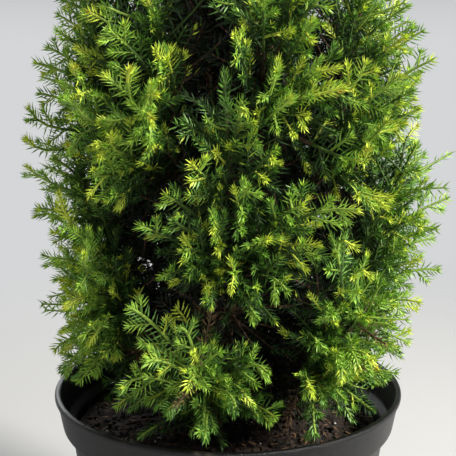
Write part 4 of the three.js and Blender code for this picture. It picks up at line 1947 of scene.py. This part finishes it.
@dataclass
class Needles:
    """The needles of all shoots, dealt out to the tones."""

    branching: Branching
    dice: np.random.Generator
    length: float = 4.5
    width: float = 0.58
    steep: float = 0.50
    spread: float = 1.28
    ripening: float = 9.0
    upright_angle: float = 0.74
    upright_length: float = 0.72
    first_pair: float = 0.9
    thrift_depth: float = 16.0
    thrift_span: float = 24.0
    age_spread: float = 1.1
    depth_spread: float = 2.0
    small_needle: float = 0.52
    lime_reach: float = 9.0
    amber_age: float = 3.0
    amber_gold: float = 5.5
    # Below this height, and deeper in than the last depth, needles are dealt darker tones as painted
    # shade.
    shaded_foot: float = 131.0
    green_depth: float = 13.0
    half_shade_depth: float = 19.0

    def __post_init__(self) -> None:
        """Starts with a bare bed for each tone."""
        self.beds: dict[Tone, list[np.ndarray]] = {tone: [] for tone in Tone}

    def _thrift(self, layer: Layer, tip: np.ndarray) -> float:
        """Makes needles larger where fewer are set, deep in the crown.

        Args:
            layer: The layer their shoot belongs to.
            tip: The shoot's tip.

        Returns:
            How much larger they are than life.
        """
        if layer.fine:
            return 1.0
        inward = float(self.branching.inward(tip[None])[0])
        return 0.78 + 0.6 * clamp((inward - self.thrift_depth) / self.thrift_span)

    def dress(self, shoot: Shoot, layer: Layer) -> None:
        """Sets a shoot with pairs of needles, each pair across the last, and a tuft at its tip.

        Args:
            shoot: The shoot.
            layer: The layer it belongs to.
        """
        path = Path(shoot.line)
        ages = [self.first_pair]
        while ages[-1] < path.length - shoot.bare - 1.0:
            ripe = min(1.0, ages[-1] / self.ripening)
            ages.append(ages[-1] + layer.pitch * (0.5 + 0.5 * ripe))
        age = np.array(ages[:-1])
        if len(age) == 0:
            return
        along = path.way(path.length - age)
        across = unit(np.cross(shoot.face, along))
        axes = along, across, np.cross(along, across)
        scale = layer.size * self._thrift(layer, shoot.line[-1])
        rows = self._pairs(path, age, axes, shoot.radius * 0.5, scale)
        rows.append(self._tuft(path, axes, 9 if layer.fine else 3, scale))
        self._deal(np.concatenate(rows), shoot)

    def _pairs(
        self, path: Path, age: np.ndarray, axes: tuple[np.ndarray, ...], lift: float, scale: float
    ) -> list[np.ndarray]:
        """Sets the pairs of needles along a shoot.

        Args:
            path: The shoot's line.
            age: How far each pair is from the tip.
            axes: The directions along, across and out of the shoot at each pair.
            lift: How far from the shoot's middle they stand.
            scale: How large they are.

        Returns:
            Rows of needles with their ages, for each side.
        """
        dice, count = self.dice, len(age)
        along, across, out = axes
        flat = np.arange(count) % 2 == 0
        level = flat[:, None]
        ripe = np.clip(age / self.ripening, 0, 1)
        angle = self.steep + (self.spread - self.steep) * ripe
        angle = angle * np.where(flat, 1.0, self.upright_angle)
        length = self.length * scale * (0.68 + 0.32 * np.clip(age / 5, 0, 1))
        length = length * np.where(flat, 1.0, self.upright_length)
        rows = []
        for sign in (-1.0, 1.0):
            swing = angle * dice.uniform(0.82, 1.18, count)
            lean = dice.normal(0, 0.22, count)[:, None]
            third = np.where(level, out, across)
            aside = unit(np.where(level, across, out) * sign + third * lean)
            way = along * np.cos(swing)[:, None] + aside * np.sin(swing)[:, None]
            blade = unit(np.cross(way, third + aside * dice.normal(0, 0.3, count)[:, None]))
            face = np.cross(blade, way)
            face *= np.where((face * along).sum(axis=1) < 0, -1.0, 1.0)[:, None]
            size = length * dice.uniform(0.84, 1.12, count)
            width = self.width * scale * dice.uniform(0.85, 1.15, count)
            root = path.at(path.length - age) + aside * lift
            rows.append(np.column_stack([root, way, blade, face, size, width, age]))
        return rows

    def _tuft(
        self, path: Path, axes: tuple[np.ndarray, ...], count: int, scale: float
    ) -> np.ndarray:
        """Sets the tuft of small steep needles at a shoot's tip.

        Args:
            path: The shoot's line.
            axes: The directions along, across and out of the shoot at each pair of needles.
            count: How many needles the tuft has.
            scale: How large they are.

        Returns:
            Rows of needles with ages of 0.
        """
        dice = self.dice
        along, across, out = (axis[0] for axis in axes)
        turn = np.arange(count) * WHORL_TURN + dice.uniform(0, 6)
        swing = dice.uniform(0.15, 0.72, count)[:, None]
        aside = across * np.cos(turn)[:, None] + out * np.sin(turn)[:, None]
        way = unit(along * np.cos(swing) + aside * np.sin(swing))
        blade = unit(np.cross(way, aside))
        root = np.repeat(path.at(np.array([path.length - self.first_pair])), count, axis=0)
        size = self.length * scale * dice.uniform(0.5, 0.75, count)
        width = self.width * scale * dice.uniform(0.75, 1.0, count)
        return np.column_stack([root, way, blade, np.cross(blade, way), size, width, np.zeros(count)])

    def _deal(self, bed: np.ndarray, shoot: Shoot) -> None:
        """Deals a shoot's needles out to the tones by their distance from its tip and their light.

        Args:
            bed: Rows of needles with their ages.
            shoot: The shoot.
        """
        age = bed[:, 14] + self.dice.normal(0, self.age_spread, len(bed))
        inward = self.branching.inward(bed[:, 0:3])
        inward = inward + self.dice.normal(0, self.depth_spread, len(bed))
        small = bed[:, 12] < self.length * self.small_needle
        tone = np.full(len(bed), int(Tone.GREEN))
        tone[age < shoot.gold + self.lime_reach] = Tone.LIME
        tone[age < shoot.gold] = Tone.GOLD
        tone[(age < self.amber_age) & small & (shoot.gold > self.amber_gold)] = Tone.AMBER
        # Needles low on the crown get one tone darker: painted shade under the crown, and older
        # needles there.
        tone[(bed[:, 2] + inward * 0.5 < self.shaded_foot) & (tone > Tone.HALF_SHADE)] -= 1
        tone[(inward > self.green_depth) & (tone == Tone.LIME)] = Tone.GREEN
        # Needles deep in the crown get the two darkest tones, which are painted shade.
        tone[(inward > self.half_shade_depth) & (tone < Tone.GOLD)] = Tone.HALF_SHADE
        tone[(inward > self.branching.crown.shade_depth) & (tone < Tone.AMBER)] = Tone.SHADE
        if shoot.dry:
            tone[:] = Tone.DRY
        for number in np.unique(tone):
            self.beds[Tone(number)].append(bed[tone == number, :14])

    def _pieces(self, finish: NeedleFinish, replaced: list[str]) -> int:
        """Makes the needles of one tone, in as many pieces as their count needs.

        Args:
            finish: The tone's finish.
            replaced: The solids that foliage stands for.

        Returns:
            How many triangles they have.
        """
        material, total = finish.material(), 0
        bed = np.concatenate(self.beds[finish.tone])
        blade = FLAT if finish.tone in FLAT_TONES else FOLDED
        pieces = math.ceil(len(bed) * len(blade.faces) / MOST_TRIANGLES)
        for number, share in enumerate(np.array_split(bed, pieces)):
            shape = Shape()
            shape.add(*needle_mesh(share, blade))
            piece = shape.piece(f"needles_{finish.name}_{number + 1}", material, "foliage")
            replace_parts(piece, *replaced)
            total += shape.triangles
        return total

    def build(self, replaced: list[str]) -> None:
        """Makes the needles of every tone.

        Args:
            replaced: The solids that foliage stands for.
        """
        total = sum(self._pieces(finish, replaced) for finish in NEEDLES)
        log.info("needles: %d triangles", total)


@dataclass
class Axes:
    """The shoots' axes and the masses' stems, under bark or young skin."""

    branching: Branching
    wood_depth: float = 16.0
    dim_depth: float = 15.0
    golden_bark: float = 1.2
    shoot_taper: float = 0.62
    stem_tip: float = 0.6
    stem_swing: float = 5.0

    def _cover(self, shoot: Shoot) -> np.ndarray:
        """Tells what covers a shoot: wood near its stem, dim in the shade, gold at some tips.

        Args:
            shoot: The shoot.

        Returns:
            The cover at each of its points.
        """
        path, inward = Path(shoot.line), self.branching.inward(shoot.line)
        old = (path.marks < shoot.bare - 1) & (inward > self.wood_depth)
        woody = old | (inward > self.branching.crown.shade_depth) | shoot.dry
        golden = (path.length - path.marks < shoot.gold * self.golden_bark) & ~woody
        leafy = np.where(inward > self.dim_depth, Bark.DIM, Bark.GREEN)
        kinds = np.where(woody, Bark.WOOD, np.where(golden, Bark.GOLD, leafy))
        if not shoot.thick:
            kinds[:] = kinds[len(kinds) // 2]
        return kinds

    def _axes(self, shoots: list[Shoot]) -> dict[Bark, Shape]:
        """Builds the axes of all shoots.

        Args:
            shoots: The shoots.

        Returns:
            What is built, by its cover.
        """
        groups: dict[tuple[int, int], list] = {}
        for shoot in shoots:
            line, rows = shoot.line, len(shoot.line)
            radii = shoot.radius * np.linspace(1.0, self.shoot_taper, rows)
            kinds = self._cover(shoot)
            start = 0
            for k in range(1, rows):
                if k == rows - 1 or kinds[k] != kinds[start]:
                    stretch = line[start : k + 1], shoot.face, radii[start : k + 1]
                    groups.setdefault((int(kinds[start]), len(stretch[0])), []).append(stretch)
                    start = k
        shapes = {kind: Shape() for kind in Bark}
        for (kind, rows), members in groups.items():
            lines, faces, radii = (np.array(part) for part in zip(*members))
            shapes[Bark(kind)].add(*tubes(lines, faces, radii, 4 if rows > 4 else 3))
        return shapes

    def _stems(self, shape: Shape) -> None:
        """Adds the stem of each mass.

        Args:
            shape: What they are added to.
        """
        steps, sides = 12, 7
        radii = np.linspace(self.branching.stem_radius, self.stem_tip, steps + 1)
        for mass in self.branching.masses:
            swing = (roll(mass.item, Trait.STEM_BEND) - 0.5) * self.stem_swing
            bend = unit(np.cross(mass.way, (0.3, 0.8, 0.2))) * swing
            controls = mix(mass.foot, mass.tip, 0.33) + bend, mix(mass.foot, mass.tip, 0.66) - bend
            line = curve((mass.foot, *controls, mass.tip), steps)
            shape.add(*tubes(line[None], unit(bend + UP * 1e-6)[None], radii[None], sides))

    def build(self, shoots: list[Shoot], replaced: list[str]) -> None:
        """Makes the pieces of the axes, one for each cover.

        Args:
            shoots: The shoots.
            replaced: The solids that foliage stands for.
        """
        shapes = self._axes(shoots)
        self._stems(shapes[Bark.WOOD])
        for kind, shape in shapes.items():
            name, finish, slot = SHOOTS[kind]
            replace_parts(shape.piece(name, finish.material(), slot), *replaced)


@dataclass
class Foliage:
    """All twigs, shoots and needles, in place of the solids of the masses.

    The twigs and the needles draw from one source of chance, layer by layer.
    """

    branching: Branching
    compost: Compost
    eye: Eye
    seed: int = 20

    def build(self) -> None:
        """Makes every piece of foliage."""
        dice = np.random.default_rng(self.seed)
        growth = Growth(self.branching, self.compost, self.eye, dice)
        needles = Needles(self.branching, dice)
        shoots = []
        for layer in (SURFACE, UNDER, DEEPER, INNER):
            grown = growth.grow(layer)
            for shoot in grown:
                needles.dress(shoot, layer)
            shoots += grown
            log.info("layer at %.2f: %d shoots", layer.reach, len(grown))
        replaced = [f"foliage_{mass.name}" for mass in self.branching.masses]
        Axes(self.branching).build(shoots, replaced)
        needles.build(replaced)


# Studio


@dataclass(frozen=True)
class Lamp:
    """A soft square light: its place and width in metres, its power in watts and its colour."""

    name: str
    place: tuple[float, float, float]
    size: float
    power: float
    colour: Colour


LAMPS = (
    Lamp("key", (0.90, -0.46, 0.88), 0.28, 28.0, (1.0, 0.98, 0.94)),
    Lamp("fill", (-0.70, -0.60, 0.70), 0.80, 0.56, (0.95, 0.97, 1.0)),
    Lamp("back", (-0.30, 1.00, 0.80), 0.70, 7.0, (0.97, 0.98, 1.0)),
)


@dataclass
class Studio:
    """A plain pale floor, soft light from above the front, a pale backdrop and the camera."""

    eye: Eye
    low_sky: Colour = (0.66, 0.67, 0.68)
    high_sky: Colour = (0.085, 0.09, 0.095)
    fade: tuple[float, float] = (0.06, 0.34)
    aim: tuple[float, float, float] = (0.0, 0.0, 0.2)
    floor_rings: tuple[float, ...] = (1, 250, 600, 1000)
    floor_sides: int = 64
    floor_height: float = -0.05
    nearest: float = 0.01

    def build(self) -> None:
        """Makes the floor, the lamps, the backdrop and the camera."""
        self._floor()
        for lamp in LAMPS:
            self._light(lamp)
        self._backdrop()
        self._camera()

    def _floor(self) -> None:
        """Makes the floor, a wide flat disc of a few rings."""
        sides = self.floor_sides
        rows = [ring(radius, self.floor_height, sides) for radius in self.floor_rings]
        shape = Shape()
        shape.add(np.concatenate(rows), ring_faces(len(rows), sides)[:, ::-1], np.arange(sides)[None])
        shape.solid("floor", FloorFinish().material())

    def _light(self, lamp: Lamp) -> None:
        """Makes one light that points at the middle of the plant.

        Args:
            lamp: What it is like.
        """
        data = bpy.data.lights.new(lamp.name, "AREA")
        data.size, data.energy, data.color = lamp.size, lamp.power, lamp.colour
        light = bpy.data.objects.new(lamp.name, data)
        light.location = lamp.place
        way = Vector(self.aim) - Vector(lamp.place)
        light.rotation_euler = way.to_track_quat("-Z", "Y").to_euler()
        bpy.context.scene.collection.objects.link(light)

    def _backdrop(self) -> None:
        """Makes the backdrop, pale low down and darker overhead."""
        world = bpy.data.worlds.new("pale_studio")
        world.use_nodes = True
        recipe = Recipe(world.node_tree)
        way = recipe.node("ShaderNodeTexCoord", {}, {}, "Generated")
        rise = recipe.node("ShaderNodeSeparateXYZ", {}, {0: way}, 2)
        colour = recipe.blend(rise.ramp(*self.fade), self.low_sky, self.high_sky)
        light = recipe.node("ShaderNodeBackground", {}, {"Color": colour, "Strength": 1.0})
        recipe.node("ShaderNodeOutputWorld", {}, {"Surface": light}, None)
        bpy.context.scene.world = world
        bpy.context.scene.view_settings.view_transform = "Standard"

    def _camera(self) -> None:
        """Makes the camera."""
        camera = bpy.data.objects.new("camera", bpy.data.cameras.new("camera"))
        camera.location = self.eye.place * MM
        camera.rotation_euler = (math.radians(90 - self.eye.pitch), 0.0, 0.0)
        camera.data.lens = self.eye.lens
        camera.data.sensor_width = self.eye.sensor
        camera.data.clip_start = self.nearest
        bpy.context.scene.collection.objects.link(camera)
        bpy.context.scene.camera = camera


def main() -> None:
    """Builds the studio, the pot, the wood and the foliage in order."""
    logging.basicConfig(level=logging.INFO, format="%(name)s %(message)s")
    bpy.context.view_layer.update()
    eye = Eye()
    Studio(eye).build()
    pot = Pot()
    pot.build()
    compost = Compost(pot)
    compost.build()
    branching = Branching()
    Limbs(branching).build()
    Foliage(branching, compost, eye).build()
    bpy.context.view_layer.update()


if __name__ == "__main__":
    main()
